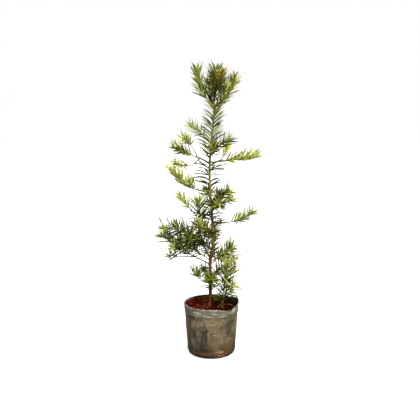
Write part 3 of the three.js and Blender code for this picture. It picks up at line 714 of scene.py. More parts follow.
def film_finish():
    """Weathered black film: dusty, stained and creased, with soil rubbed into its foot, and with
    painted highlights, painted shade in its creases and a painted undershadow at its foot.
    """
    film = Finish("weathered_film", {"Specular IOR Level": 0.32})
    z = film.along("Z")
    dust = film.clouds(30, 7)
    fine = film.clouds(6, 6, (1, 1, 0.6))
    wander = film.clouds(11, 6) - 0.5
    low = film.stretch(z + 34 * wander, 30, 6)
    cuff = film.stretch(z + 5 * dust, CUFF_FOOT + 1, CUFF_FOOT + 7)
    plain = film.mix(cuff * 0.8, wall_colour(film, dust, fine, wander), cuff_colour(film, z))
    # Stains, with painted highlights and painted shade among them.
    blotched = with_marks(film, plain, STAINS_AND_PAINTED_LIGHT, wander)
    specks = film.stretch(film.clouds(2.2, 3), 0.6, 0.76)
    speckled = film.mix(specks * 0.3, blotched, colour("#a59d88"))
    # Painted shade downwards and a painted black undershadow at the foot, over the brown mud low
    # down.
    muddy = muddied_and_shaded(film, speckled, z, low, dust)
    marked = with_marks(film, muddy, FOOT_STAINS, wander)
    lines = film.creases(26, (1, 1, 0.6)) + film.creases(15, (0.5, 0.5, 1.3))
    creases = lines * film.stretch(fine, 0.4, 0.56)
    # Painted shade along the fine creases.
    film.set("Base Color", film.mix(creases * 0.16, marked, colour("#2a251c")))
    film.set("Roughness", 0.42 + 0.3 * dust + 0.15 * low)
    film.bump(film.clouds(5, 6) + 0.6 * film.clouds(1.2, 3) - 0.2 * creases, 0.7)
    return film.material


def inner_film_finish():
    """The film's inside: nearly black at the right, muddy at the back, and at the left dusty with
    painted glints.
    """
    film = Finish("inner_film", {"Specular IOR Level": 0.2})
    soil = film.clouds(9, 5)
    black = film.ramp(soil, [(0.4, "#120b04"), (0.56, "#2e2008"), (0.7, "#453a1c")])
    muddy = film.ramp(soil, [(0.4, "#40250a"), (0.54, "#784a1c"), (0.68, "#8c6a38")])
    # Dust and painted glints at the left.
    dust_and_glints = film.ramp(film.clouds(5, 4), [(0.4, "#3a372b"), (0.55, "#77745f"), (0.66, "#bdb9a6")])
    x, z = film.along("X"), film.along("Z")
    blotched = film.mix(film.stretch(x, 30, -10) * film.stretch(z, 130, 140), black, muddy)
    left = film.stretch(x, -30, -60) * film.stretch(z, 146, 150)
    film.set("Base Color", film.mix(left, blotched, dust_and_glints))
    film.set("Roughness", 0.3 + 0.4 * soil)
    film.bump(film.clouds(4, 5), 0.6)
    return film.material


def rim_finish():
    """The film's cut edge, worn pale, with painted highlights along it."""
    rim = Finish("film_edge", {"Specular IOR Level": 0.5})
    wear_and_highlights = rim.clouds(7, 4)
    # Pale wear and painted highlights along the edge.
    tone = rim.ramp(wear_and_highlights, [(0.4, "#4b453a"), (0.52, "#9a8c7d"), (0.64, "#d3c2b6")])
    rim.set("Base Color", tone)
    rim.set("Roughness", 0.4 + 0.3 * wear_and_highlights)
    rim.bump(rim.clouds(3, 4), 0.4)
    return rim.material


def soil_finish(name, dark, middle, light):
    """Red-brown clay soil with pale grit, with painted shade at the right, darker in front, and dry
    at the back left.
    """
    soil = Finish(name, {"Specular IOR Level": 0.02})
    clods = soil.clouds(11, 7)
    grit = soil.clouds(1.6, 3)
    base = soil.ramp(clods, [(0.34, dark), (0.52, middle), (0.7, light)])
    gritty = soil.mix(soil.stretch(grit, 0.62, 0.74) * 0.3, base, colour("#7a3616"))
    x, y = soil.along("X"), soil.along("Y")
    # Painted shade over the soil's right side.
    right = soil.stretch(x + 60 * (soil.clouds(22, 3) - 0.5), -12, 60)
    shaded_right = soil.mix(right * 0.9, gritty, colour("#150200"))
    front = soil.stretch(y + 30 * (clods - 0.5), -35, -70)
    darker_front = soil.mix(front * 0.65, shaded_right, colour("#120300"))
    back_left = soil.stretch(y + 20 * (clods - 0.5), 45, 70) * soil.stretch(x, 20, -5)
    soil.set("Base Color", soil.mix(back_left * 0.7, darker_front, colour("#6e3c12")))
    soil.set("Roughness", 0.8 + 0.15 * clods)
    soil.bump(soil.clouds(3, 7) + 0.5 * grit, 1.4)
    return soil.material


def bark_finish():
    """Bark that goes by each point's youth from red-brown and fissured to smooth olive green, and
    has painted shade on the trunk's right side, towards its foot."""
    bark = Finish("bark", {"Specular IOR Level": 0.15})
    youth = bark.node("ShaderNodeAttribute", {"attribute_name": "youth"}, {}, "Fac")
    grain = bark.clouds(1.6, 6, (1, 1, 0.16))
    flakes = bark.clouds(7, 5, (1, 1, 0.4))
    base = bark.ramp(youth + 0.12 * (flakes - 0.5), BARK_TONES)
    old = 1 - bark.stretch(youth, 0.35, 0.75)
    fissures = bark.stretch(grain, 0.5, 0.66) * (0.3 + 0.45 * old)
    fissured = bark.mix(fissures, base, colour("#1a0d06"))
    flaked = bark.mix(bark.stretch(flakes, 0.56, 0.7) * 0.35 * old, fissured, colour("#8d6a45"))
    x, z = bark.along("X"), bark.along("Z")
    # Painted shade on the trunk's right side, towards its foot.
    right_side = bark.stretch(x, -4, -1) * bark.stretch(x, 12, 6)
    shaded_right = right_side * bark.stretch(z, 290, 210)
    bark.set("Base Color", bark.mix(shaded_right * 0.85, flaked, colour("#190b05")))
    bark.set("Roughness", 0.55 + 0.3 * old)
    bark.bump(grain + 0.5 * flakes, 0.5)
    return bark.material


def stage_finish():
    """Pale paper, lit from below a little so that shadows on it stay faint."""
    white = (0.9, 0.9, 0.9, 1)
    glow = {"Emission Color": white, "Emission Strength": FLOOR_GLOW}
    paper = Finish("pale_floor", {"Base Color": white, "Roughness": 0.9, **glow})
    paper.bump(paper.clouds(120, 2), 0.2)
    return paper.material


# Leaf colours from the oldest to the youngest, and those of the bronze new growth.
LEAF_SHADES = ["#0d140a", "#1b260a", "#3a4411", "#646e1b", "#8f9830", "#b7bc52", "#d6d980"]
BRONZE_SHADES = ["#2b3410", "#4a5212", "#69671a", "#867a20", "#a8942c"]
DEAD_SHADES = ["#3a1d10", "#5c3824"]
RIB_TINT = "#d3d05c"
BACK_TINT = "#96a04c"
LEAF_PARTS = ("blade", "rib", "back")


def leaf_finishes(kind, shades):
    """For each shade its blade, its paler rib and its matt back, all plain colours."""
    made = []
    for number, shade in enumerate(shades):
        looks = {
            "blade": (colour(shade), 0.5),
            "rib": (blended(shade, RIB_TINT, 0.28), 0.5),
            "back": (blended(shade, BACK_TINT, 0.3), 0.6),
        }
        for part in LEAF_PARTS:
            base, roughness = looks[part]
            constants = {"Base Color": base, "Roughness": roughness, "Specular IOR Level": 0.12}
            made.append(Finish(f"{kind}_{number}_{part}", constants).material)
    return made


# ---- Meshes ----


class Pile:
    """Gathers many small closed bodies of one kind for one object."""

    def __init__(self):
        self.points = []
        self.faces = []
        self.slots = []
        self.youth = []
        self.count = 0

    def add(self, points, faces, slots=0, youth=0.0):
        """slots and youth are one number for the whole body, or a list of them."""
        self.points.append(points)
        self.faces += [tuple(corner + self.count for corner in face) for face in faces]
        self.slots += [slots] * len(faces) if isinstance(slots, int) else slots
        self.youth.append(np.broadcast_to(youth, len(points)))
        self.count += len(points)


def make_piece(name, pile, materials, nodes=(), sharp=50):
    """One object from a pile, riding on the plant, in place of those nodes."""
    mesh = bpy.data.meshes.new(name)
    points = np.vstack(pile.points) * MM
    mesh.from_pydata(points.tolist(), [], pile.faces)
    mesh.polygons.foreach_set("material_index", pile.slots)
    for material in materials:
        mesh.materials.append(material)
    youth = mesh.attributes.new("youth", "FLOAT", "POINT")
    youth.data.foreach_set("value", np.concatenate(pile.youth).astype(np.float32))
    mesh.shade_smooth()
    mesh.set_sharp_from_angle(angle=math.radians(sharp))
    piece = added(name, mesh)
    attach(piece, "root")
    if nodes:
        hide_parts(*nodes)


def ring_faces(rings, sides):
    """Quads between rings of points, and one many-sided face over each end."""
    quads = [
        (r * sides + s, r * sides + (s + 1) % sides,
         (r + 1) * sides + (s + 1) % sides, (r + 1) * sides + s)
        for r in range(rings - 1) for s in range(sides)
    ]
    last = (rings - 1) * sides
    return quads + [tuple(range(sides - 1, -1, -1)), tuple(range(last, last + sides))]


def pole_faces(rings, sides):
    """Rings of points between a first point and a last one, closed at both by triangles."""
    end = 1 + rings * sides
    first = [(0, 1 + (s + 1) % sides, 1 + s) for s in range(sides)]
    quads = [tuple(1 + corner for corner in face) for face in ring_faces(rings, sides)[:-2]]
    last = [(end, end - sides + s, end - sides + (s + 1) % sides) for s in range(sides)]
    return first + quads + last


# ---- Limbs ----


class Limb:
    """A tapering stem that bends in one upright plane."""

    def __init__(self, foot, way):
        away = level(way.heading)
        chord = math.hypot(way.reach, way.rise)
        lean = math.radians(way.slope)
        self.foot = np.array(foot, float)
        self.bend = self.foot + BEND * chord * swung(away, UP, lean)
        self.tip = self.foot + way.reach * away + way.rise * UP
        self.side = level(way.heading + 90)
        self.foot_radius = TWIG_FOOT_RADIUS + TWIG_PER_LENGTH * chord
        steps = np.diff(self.point(np.linspace(0, 1, LENGTH_POINTS)), axis=0)
        self.length = np.linalg.norm(steps, axis=1).sum()

    def point(self, share):
        t = np.asarray(share, float)[..., None]
        return (1 - t) ** 2 * self.foot + 2 * t * (1 - t) * self.bend + t * t * self.tip

    def tangent(self, share):
        t = np.asarray(share, float)[..., None]
        return unit((1 - t) * (self.bend - self.foot) + t * (self.tip - self.bend))

    def radius(self, share):
        return lerp(self.foot_radius, TWIG_TIP_RADIUS, share)


def trunk_axis(z):
    """The trunk's middle at a height, or at each of several."""
    z = np.asarray(z, float)
    heights, xs, ys = TRUNK_TURNS.T
    i = np.clip(np.searchsorted(heights, z), 1, len(heights) - 1)
    share = np.clip((z - heights[i - 1]) / (heights[i] - heights[i - 1]), 0, 1)
    eased = share * share * (3 - 2 * share)
    return np.stack([lerp(xs[i - 1], xs[i], eased), lerp(ys[i - 1], ys[i], eased), z], axis=-1)


def trunk_radius(z, angle=0.0):
    share = (z - TRUNK_FOOT) / (TRUNK_TOP - TRUNK_FOOT)
    flare = FLARE * np.exp((TRUNK_FOOT - z) / FLARE_HEIGHT)
    buttress = 1 + BUTTRESS_SHARE * np.cos(BUTTRESSES * angle)
    return lerp(TRUNK_FOOT_RADIUS, TRUNK_TOP_RADIUS, share) + flare * buttress


class TrunkStretch:
    """The part of the trunk under a collar, with what a limb has."""

    def __init__(self, low, high):
        self.low = low
        self.high = high
        self.side = level(0)

    def point(self, share):
        return trunk_axis(lerp(self.low, self.high, share))

    def tangent(self, share):
        return UP

    def radius(self, share):
        return trunk_radius(lerp(self.low, self.high, share))


@dataclass
class Stem:
    """A limb that carries leaves from one share of its way on."""

    shoot: object
    line: object
    key: int
    start: float


def side_twigs(stem):
    """Side twigs leave the stem left and right in turn, and rise a little."""
    shoot = stem.shoot
    made = []
    for j in range(shoot.twigs):
        place = (j + SIDE_TWIG["first"]) / (shoot.twigs + 2 * SIDE_TWIG["first"])
        share = lerp(stem.start, 1, place)
        reach = stem.line.length * (1 - stem.start) * SIDE_TWIG["share"]
        heading = shoot.heading + (-1 if j % 2 else 1) * SIDE_TWIG["spread"]
        way = replace(shoot, heading=heading, reach=reach, rise=reach * SIDE_TWIG["rise"],
                      slope=SIDE_TWIG["slope"], leaves=SIDE_TWIG["leaves"],
                      ages=SIDE_TWIG["ages"], twigs=0)
        twig = Limb(stem.line.point(share), way)
        made.append(Stem(way, twig, stem.key + SIDE_TWIG["keys"] + j, SIDE_TWIG["bare"]))
    return made


def grown_stems():
    """Each shoot's stem by name: the leader, the second stem, the side shoots, the finer twigs."""
    tip = trunk_axis(TRUNK_TOP)
    foot = (*SECOND_STEM_FOOT, TRUNK_FOOT)
    stems = {
        "leader_tip": Stem(LEADER, Limb(tip, LEADER), LEADER_KEY, 0),
        "second_stem": Stem(SECOND_STEM, Limb(foot, SECOND_STEM), SECOND_STEM_KEY, SECOND_STEM.bare),
    }
    for number, shoot in enumerate([*SHOOTS, *FINER_TWIGS]):
        parent = stems.get(shoot.parent)
        foot = parent.line.point(shoot.at) if parent else trunk_axis(shoot.height)
        stems[shoot.name] = Stem(shoot, Limb(foot, shoot), number + FIRST_SHOOT_KEY, shoot.bare)
    return stems


# ---- Leaves ----


@dataclass
class Leaf:
    foot: np.ndarray
    middle: np.ndarray
    tip: np.ndarray
    across: np.ndarray
    face: np.ndarray
    roll: float
    width: float


def leaf_at(shoot, stem, k):
    """Leaf number k of a shoot, which may lie between two whole numbers: it stands a golden angle
    on for each number, opens from its stem, turns a little to the light and arches."""
    share = (k + 0.5) / shoot.leaves
    key = stem.key * LEAF_KEYS + k
    t = lerp(stem.start, 1, share**LEAF_CROWDING)
    point = stem.line.point(t)
    tangent = stem.line.tangent(t)
    over = np.cross(tangent, stem.line.side)
    angle = math.radians(k * GOLDEN) + stem.key
    opens = math.radians(lerp(*shoot.opens, share)) * (1 + play(ANGLE_PLAY, key))
    out = unit(math.cos(angle) * stem.line.side + math.sin(angle) * shoot.flat * over)
    direction = unit(swung(tangent, out, opens) + shoot.lift * UP)
    length = lerp(*shoot.leaf, share) * (1 + play(LENGTH_PLAY, key + 0.5))
    foot = point - LEAF_SUNK * stem.line.radius(t) * out
    across = unit(np.cross(tangent, direction))
    across = turned(across, direction, play(LEAF_TWIST, key + 0.25))
    face = np.cross(direction, across)
    arch = length * (LEAF_ARCH + shoot.sag)
    tip = foot + direction * length - LEAF_DROOP * arch * face
    middle = (foot + tip) / 2 + arch * face
    base, per_length = LEAF_WIDTH
    roll = play(LEAF_ROLL, key + 0.75)
    return Leaf(foot, middle, tip, across, face, roll, base + per_length * length)


def leaf_half_width(leaf):
    """Half the width at each station: a narrow stalk, widest before the middle, a long point."""
    outline = np.sin(np.pi * LEAF_STATIONS**LEAF_WIDEST) ** LEAF_FULLNESS
    return np.maximum(LEAF_STALK * (1 - LEAF_STATIONS), leaf.width / 2 * outline)


def leaf_points(leaf):
    """Its foot, then a ring of six round each station, then its tip."""
    s = LEAF_STATIONS[:, None]
    bend = 2 * leaf.middle - (leaf.foot + leaf.tip) / 2
    centre = (1 - s) ** 2 * leaf.foot + 2 * s * (1 - s) * bend + s * s * leaf.tip
    along = unit((1 - s) * (bend - leaf.foot) + s * (leaf.tip - bend))
    rolled = np.cos(leaf.roll * s) * leaf.across + np.sin(leaf.roll * s) * leaf.face
    across = unit(rolled - (rolled * along).sum(axis=1, keepdims=True) * along)
    face = np.cross(along, across)
    half = leaf_half_width(leaf)
    rib = np.minimum(RIB_HALF, half * 0.5)
    thin = np.minimum(1, half)
    right = np.stack([half, rib, -rib, -half, -rib, rib], axis=1)
    edge, top, deep = LEAF_FOLD * half, RIB_TOP * thin, -RIB_DEEP * thin
    over = np.stack([edge, top, top, edge, deep, deep], axis=1)
    rings = centre[:, None] + right[..., None] * across[:, None] + over[..., None] * face[:, None]
    return np.vstack([leaf.foot, rings.reshape(-1, 3), leaf.tip])


LEAF_SIDES = 6
LEAF_FACES = pole_faces(len(LEAF_STATIONS), LEAF_SIDES)
# The part of each face round a ring: right blade, rib, left blade, left back, rib's back, back.
RING_PARTS = [0, 1, 0, 2, 2, 2]
LEAF_FACE_PARTS = RING_PARTS * (len(LEAF_STATIONS) + 1)


def add_leaf(pile, leaf, shade):
    first = shade * len(LEAF_PARTS)
    pile.add(leaf_points(leaf), LEAF_FACES, [first + part for part in LEAF_FACE_PARTS])


def shade_number(shoot, share, key, count):
    """Leaves near the tip are younger, and no two neighbours are quite alike."""
    younger = shoot.ages * (share - MIDDLE_AGE)
    youth = shoot.tint + younger + play(SHADE_PLAY, key + 0.6)
    return int(np.clip(youth * count, 0, count - 1))


def misses_trunk(leaf):
    """Whether a leaf stays out of the trunk beyond its own foot."""
    for point in (leaf.middle, leaf.tip):
        if point[2] < TRUNK_TOP:
            reach = np.linalg.norm((point - trunk_axis(point[2]))[:2])
            if reach < trunk_radius(point[2]) + 1:
                return False
    return True


def in_reach(leaf):
    """Whether a leaf's tip keeps to the reach of the solids, give or take a little."""
    past_low = leaf.tip <= LOW_CORNER - REACH_PLAY
    past_high = leaf.tip >= HIGH_CORNER + REACH_PLAY
    return not np.any(past_low | past_high)


def add_leaves(pile, stem, shades):
    """The last leaf stands short of the stem's tip."""
    shoot = stem.shoot
    for k in np.arange(0, shoot.leaves - 0.5, 1 / CLOSER):
        leaf = leaf_at(shoot, stem, k)
        share = (k + 0.5) / shoot.leaves
        if misses_trunk(leaf) and in_reach(leaf):
            shade = shade_number(shoot, share, stem.key * LEAF_KEYS + k, len(shades))
            add_leaf(pile, leaf, shade)


def add_bud(pile, stem, shade):
    """The pointed bud at the end of a shoot."""
    tip, tangent, side = stem.line.point(1), stem.line.tangent(1), stem.line.side
    over = np.cross(tangent, side)
    rings = [
        tip + BUD_LENGTH * along * tangent + BUD_RADIUS * wide * swung(side, over, angle)
        for along, wide in BUD_PROFILE for angle in angles(LEAF_SIDES)
    ]
    points = np.vstack([tip - tangent, rings, tip + BUD_LENGTH * tangent])
    pile.add(points, pole_faces(len(BUD_PROFILE), LEAF_SIDES), shade * len(LEAF_PARTS))


def add_tuft(pile, stem, shade):
    """A few short new leaves pressed round the bud."""
    shoot = stem.shoot
    tip, tangent, side = stem.line.point(1), stem.line.tangent(1), stem.line.side
    over = np.cross(tangent, side)
    for j in range(TUFT):
        key = stem.key * LEAF_KEYS + TUFT_KEYS + j
        out = swung(side, over, math.radians(j * GOLDEN))
        opens = math.radians(ranged(TUFT_OPENS, key))
        direction = unit(swung(tangent, out, opens) + 0.5 * shoot.lift * UP)
        length = shoot.leaf[1] * ranged(TUFT_SHARES, key + 0.5)
        across = unit(np.cross(tangent, direction))
        face = np.cross(direction, across)
        leaf_tip = tip + direction * length
        middle = (tip + leaf_tip) / 2 - TUFT_ARCH * length * face
        add_leaf(pile, Leaf(tip, middle, leaf_tip, across, face, 0, TUFT_WIDTH), shade)


def end_shoot(pile, stem, shades):
    """A shoot ends in a bud and its tuft, a shade younger than its last leaves."""
    youngest = len(shades) - 1
    shade = min(youngest, shade_number(stem.shoot, 1, stem.key, len(shades)) + 1)
    add_bud(pile, stem, shade)
    add_tuft(pile, stem, shade)


# ---- Wood ----


def trunk_relief(angle, z, youth):
    """Fissures and flakes of the old bark, and the fine grain of the green wood."""
    x, y = BARK_RADIUS * math.cos(angle), BARK_RADIUS * math.sin(angle)
    ridges = 1 - abs(ripple(x, y, z, FISSURES))
    old = RIDGE_RISE * ridges**3 - RIDGE_SUNK + ripple(x, y, z, BARK_FLAKES)
    return lerp(old, ripple(x, y, z, WOOD_GRAIN), youth)


def scar(angle, z):
    """The small cushions that fallen leaves have left, a golden angle apart."""
    number = round(z / SCAR_STEP)
    found = 0.0
    for k in range(number - 2, number + 3):
        turn = angle_between(math.degrees(angle), k * GOLDEN)
        found += bell(turn, SCAR_HALF_TURN) * bell(z - k * SCAR_STEP, SCAR_HALF_HEIGHT)
    return found


def make_trunk(finish):
    heights = np.arange(TRUNK_FOOT - TRUNK_SUNK, TRUNK_TOP + TRUNK_ROW, TRUNK_ROW)
    heights[-1] = TRUNK_TOP
    youths = np.interp(heights, *TRUNK_YOUTH)
    rings = []
    for z, youth in zip(heights, youths):
        axis = trunk_axis(z)
        for angle in angles(TRUNK_SIDES):
            plain = trunk_radius(max(z, TRUNK_FOOT - FLARE_SUNK), angle)
            radius = plain + trunk_relief(angle, z, youth)
            radius += SCAR_RISE * (0.3 + 0.7 * youth) * scar(angle, z)
            rings.append(axis + radius * level(math.degrees(angle)))
    pile = Pile()
    pile.add(np.array(rings), ring_faces(len(heights), TRUNK_SIDES),
             youth=np.repeat(youths, TRUNK_SIDES))
    make_piece("trunk_bark", pile, [finish], ["trunk"])


def add_tube(pile, line, start, end, youths, make):
    """The stretch of a limb between two shares of its way, swollen where it leaves its parent."""
    sides, row, rough = make
    count = max(4, int(line.length * (end - start) / row))
    shares = np.linspace(start, end, count)
    points = line.point(shares)
    tangents = line.tangent(shares)
    rings = []
    for share, point, tangent in zip(shares, points, tangents):
        over = np.cross(tangent, line.side)
        swell = 1 + SWELL * math.exp(-share * line.length / SWELL_LENGTH)
        for angle in angles(sides):
            out = swung(line.side, over, angle)
            relief = rough * ripple(*(point + 2 * out), TWIG_GRAIN)
            scars = TWIG_SCAR_RISE * scar(angle, share * line.length)
            rings.append(point + (line.radius(share) * swell + relief + scars) * out)
    youth = np.repeat(np.interp(shares, (0, 1), youths), sides)
    pile.add(np.array(rings), ring_faces(count, sides), youth=youth)


def wood_youth(z):
    """How green the wood is of a limb that leaves the trunk at that height."""
    return float(np.interp(z, *TRUNK_YOUTH))


def make_boughs(stems, finish):
    pile = Pile()
    nodes = []
    for stem in stems.values():
        if stem.shoot.bough:
            foot = wood_youth(stem.line.foot[2])
            youths = [foot + greener for greener in BOUGH_GREENER]
            add_tube(pile, stem.line, 0, stem.shoot.bare + BOUGH_LAP, youths, BOUGH_MAKE)
            nodes.append("bough_" + stem.shoot.name)
    make_piece("boughs", pile, [finish], nodes)


def mass_nodes(stems):
    """The solids that those stems and their leaves stand for."""
    return ["foliage_" + stem.shoot.name for stem in stems if stem.shoot not in FINER_TWIGS]


def make_twigs(stems, finish):
    """The stems inside the masses and their side twigs."""
    pile = Pile()
    for stem in stems.values():
        foot = wood_youth(stem.line.foot[2])
        start = stem.shoot.bare if stem.shoot.bough else 0
        add_tube(pile, stem.line, start, 1, (foot + STEM_GREENER, 1), STEM_MAKE)
        for twig in side_twigs(stem):
            add_tube(pile, twig.line, 0, 1, TWIG_YOUTHS, TWIG_MAKE)
    make_piece("twigs", pile, [finish], mass_nodes(stems.values()))


# ---- Foliage ----

# Pieces of foliage: the record's slot, and the tints that it takes.
FOLIAGE = [("old_leaf", -1, 0.3), ("green_leaf", 0.3, 0.7), ("young_leaf", 0.7, 2)]


def make_leaves(name, stems, shades, finishes):
    pile = Pile()
    for stem in stems:
        add_leaves(pile, stem, shades)
        if isinstance(stem.line, Limb):
            end_shoot(pile, stem, shades)
            for twig in side_twigs(stem):
                add_leaves(pile, twig, shades)
                end_shoot(pile, twig, shades)
    make_piece(name, pile, finishes, mass_nodes(stems), sharp=35)


def make_foliage(stems):
    collars = [Stem(collar, TrunkStretch(collar.low, collar.high), FIRST_COLLAR_KEY + i, 0)
               for i, collar in enumerate(COLLARS)]
    leafy = [*stems.values(), *collars]
    green = leaf_finishes("leaf", LEAF_SHADES)
    bronze = leaf_finishes("bronze_leaf", BRONZE_SHADES)
    for slot, low, high in FOLIAGE:
        chosen = [s for s in leafy if not s.shoot.bronze and low <= s.shoot.tint < high]
        make_leaves(slot + "_spray", chosen, LEAF_SHADES, green)
    chosen = [s for s in leafy if s.shoot.bronze]
    make_leaves("bronze_leaf_spray", chosen, BRONZE_SHADES, bronze)


# ---- Grow bag ----

OUTSIDE, INSIDE, EDGE = range(3)  # the film's finishes, by their place in the list


def wall_radius(z):
    """The outer wall without the cuff: a rounded foot, then a straight flare to the rim."""
    if z >= BAG_CORNER_HEIGHT:
        share = (z - BAG_CORNER_HEIGHT) / (BAG_HEIGHT - BAG_CORNER_HEIGHT)
        return lerp(BAG_LOW_RADIUS, BAG_RIM_RADIUS - CUFF_PROUD, share)
    turn = math.acos(1 - z / BAG_CORNER_HEIGHT)
    return lerp(BAG_FOOT_RADIUS, BAG_LOW_RADIUS, math.sin(turn))


def crumple(angle, z):
    """The slanting folds, which fade out down the rounded foot."""
    wave = sum(share * math.sin(count * angle + phase + z / slant)
               for share, count, phase, slant in FOLDS)
    return CRUMPLE * wave * min(1, z / BAG_CORNER_HEIGHT)


def cuff_folds(x, y, z):
    """The cuff's level folds, which wander up and down and come and go round the bag."""
    wander = ripple(x, y, 0, FOLD_WANDER)
    folds = sum(depth * bell(z - height - wander, half) for height, depth, half in CUFF_FOLDS)
    return (1 + ripple(x, y, z, FOLD_PLAY)) * folds


def seam_ridge(x):
    """The welded seam, a ridge with a groove beside it."""
    return sum(rise * bell(x - SEAM - away, half) for away, half, rise in SEAM_FORMS)


def short_creases(angle, z):
    """Creases here and there in the wall, each bowed down at its ends."""
    relief = 0
    for at, height, half, half_height, depth in CREASES:
        away = angle_between(math.degrees(angle), at)
        if abs(away) < CREASE_ENDS * half:
            bowed = height - CREASE_BOW * (away / half) ** 2
            relief += depth * bell(away, half) * bell(z - bowed, half_height)
    return relief


def film_relief(angle, z, cuff=False):
    """Dents, upright pleats, crumpled facets and creases of the slack film."""
    x, y = GRAIN_RADIUS * math.cos(angle), GRAIN_RADIUS * math.sin(angle)
    relief = ripple(x, y, z, DENTS) + ripple(x, y, z, PLEATS) + facets(x, y, z, FILM_FACETS)
    relief += ripple(x, y, z, FILM_GRAIN)
    if cuff:
        relief = CUFF_SLACK * relief + cuff_folds(x, y, z)
    if y < 0:
        relief += seam_ridge(x)
    relief += short_creases(angle, z)
    return relief * min(1, z / BAG_CORNER_HEIGHT)


def foot_folds(angle, z):
    """The film gathers in short radial folds round the bag's rounded foot."""
    gather = sum(depth * math.sin(count * angle + stray * math.sin(2 * angle))
                 for depth, count, stray in FOOT_FOLDS)
    return gather * bell(z - FOOT_FOLD_HEIGHT, FOOT_FOLD_HALF)


def film_profile():
    """The film from the middle of its underside, up the wall, round the cuff, over the rim and
    down the inside: radius, height and layer of each row."""
    corner = [BAG_CORNER_HEIGHT * (1 - math.cos(math.radians(turn))) for turn in FOOT_TURNS]
    walls = np.linspace(BAG_CORNER_HEIGHT, CUFF_FOOT + WALL_LAP, WALL_ROWS)
    cuffs = np.linspace(CUFF_FOOT, CUFF_TOP, CUFF_ROWS)
    shown = np.linspace(INSIDE_TOP, SOIL_WALL_LEVEL - INSIDE_DEPTH, INSIDE_ROWS)
    hem = wall_radius(CUFF_FOOT)
    rim = wall_radius(BAG_HEIGHT) + CUFF_PROUD
    return [
        *[(radius, 0.0, "under") for radius in UNDERSIDE_RADII],
        *[(wall_radius(z), z, "wall") for z in (*corner, *walls)],
        *[(hem + out, CUFF_FOOT + above, "hem") for out, above in HEM_ROWS],
        *[(wall_radius(z) + CUFF_PROUD, z, "hem" if z == CUFF_FOOT else "cuff") for z in cuffs],
        *[(rim - inward, BAG_HEIGHT - below, layer) for inward, below, layer in RIM_ROWS],
        *[(wall_radius(z) - BAG_WALL, z, "inside") for z in shown],
        *[(wall_radius(z) - BAG_WALL - BAG_SLACK, z, "inside") for z in HIDDEN_HEIGHTS],
        *[(radius, BAG_FLOOR, "floor") for radius in FLOOR_RADII],
    ]


def rim_turn(angle, z):
    """How far the rim stands up and leans out there, in all."""
    top = max(0, (z - SOIL_WALL_LEVEL) / (BAG_HEIGHT - SOIL_WALL_LEVEL))
    lift = lean = 0
    for at, half_width, up, out in RIM_TURNS:
        away = angle_between(math.degrees(angle), at)
        torn = 1 + 0.3 * math.sin(away * 0.45) + 0.2 * math.sin(away * 1.3 + 1)
        lift += top * up * torn * bell(away, half_width)
        lean += top * out * bell(away, half_width)
    return lift, lean


def hem_wave(angle):
    """How far the cuff's lower edge wanders up and down there."""
    return ripple(GRAIN_RADIUS * math.cos(angle), GRAIN_RADIUS * math.sin(angle), 0, HEM_WAVE)


def film_point(angle, radius, z, layer):
    if layer in ("under", "floor"):
        return place_at(radius, angle, z)
    near_soil = layer == "inside" and z < SOIL_WALL_LEVEL + 2
    relief = 0 if near_soil else film_relief(angle, z, layer in ("cuff", "hem", "rim"))
    lift, lean = rim_turn(angle, z)
    hem = hem_wave(angle) if layer == "hem" else 0
    out = radius + crumple(angle, z) + relief + foot_folds(angle, z) + lean
    return place_at(out, angle, z + lift + hem)


def make_bag(finishes):
    rows = film_profile()
    rings = [film_point(angle, *row) for row in rows for angle in angles(BAG_COLUMNS)]
    points = np.vstack([[0, 0, 0], rings, [0, 0, BAG_FLOOR]])
    faces = pole_faces(len(rows), BAG_COLUMNS)
    layers = [layer for radius, z, layer in rows]
    outer = layers.index("rim") * BAG_COLUMNS
    edge = (layers.index("inside") + 1) * BAG_COLUMNS - outer
    slots = [OUTSIDE] * outer + [EDGE] * edge + [INSIDE] * (len(faces) - outer - edge)
    pile = Pile()
    pile.add(points, faces, slots)
    make_piece("grow_bag_film", pile, finishes, ["grow_bag"], sharp=60)


def lip_points(middle, side, away, number):
    """Rings round the raised lip of a punched hole, a little torn."""
    points = []
    for turn in angles(LIP_STEPS):
        out = swung(side, UP, turn)
        ragged = 1 + 0.12 * math.sin(3 * turn + number) + 0.06 * math.sin(7 * turn)
        for around in angles(LIP_SIDES):
            reach = HOLE_RADIUS * ragged + LIP_RADIUS * math.cos(around)
            points.append(middle + reach * out + LIP_RISE * math.sin(around) * away)
    return np.array(points)


def closed_ring_faces(rings, sides):
    """Quads between rings of points, and from the last ring back to the first."""
    return [
        (r * sides + s, (r + 1) % rings * sides + s,
         (r + 1) % rings * sides + (s + 1) % sides, r * sides + (s + 1) % sides)
        for r in range(rings) for s in range(sides)
    ]


def make_holes(finishes):
    """Each punched hole: a dark disc of painted shade in its lip."""
    pile = Pile()
    for number, (degrees, z) in enumerate(HOLES):
        angle = math.radians(degrees)
        away, side = level(degrees), level(degrees + 90)
        radius = wall_radius(z) + crumple(angle, z) + film_relief(angle, z)
        middle = (radius + HOLE_PROUD) * away + z * UP
        lip = lip_points(middle, side, away, number)
        pile.add(lip, closed_ring_faces(LIP_STEPS, LIP_SIDES), OUTSIDE)
        # The dark disc is painted shade for the hole's opening.
        disc = [
            middle + depth * away + HOLE_RADIUS * swung(side, UP, turn)
            for depth in DISC_DEPTHS for turn in angles(LIP_STEPS)
        ]
        pile.add(np.array(disc), ring_faces(2, LIP_STEPS), INSIDE)
    make_piece("punched_holes", pile, finishes, sharp=60)


# ---- Soil ----


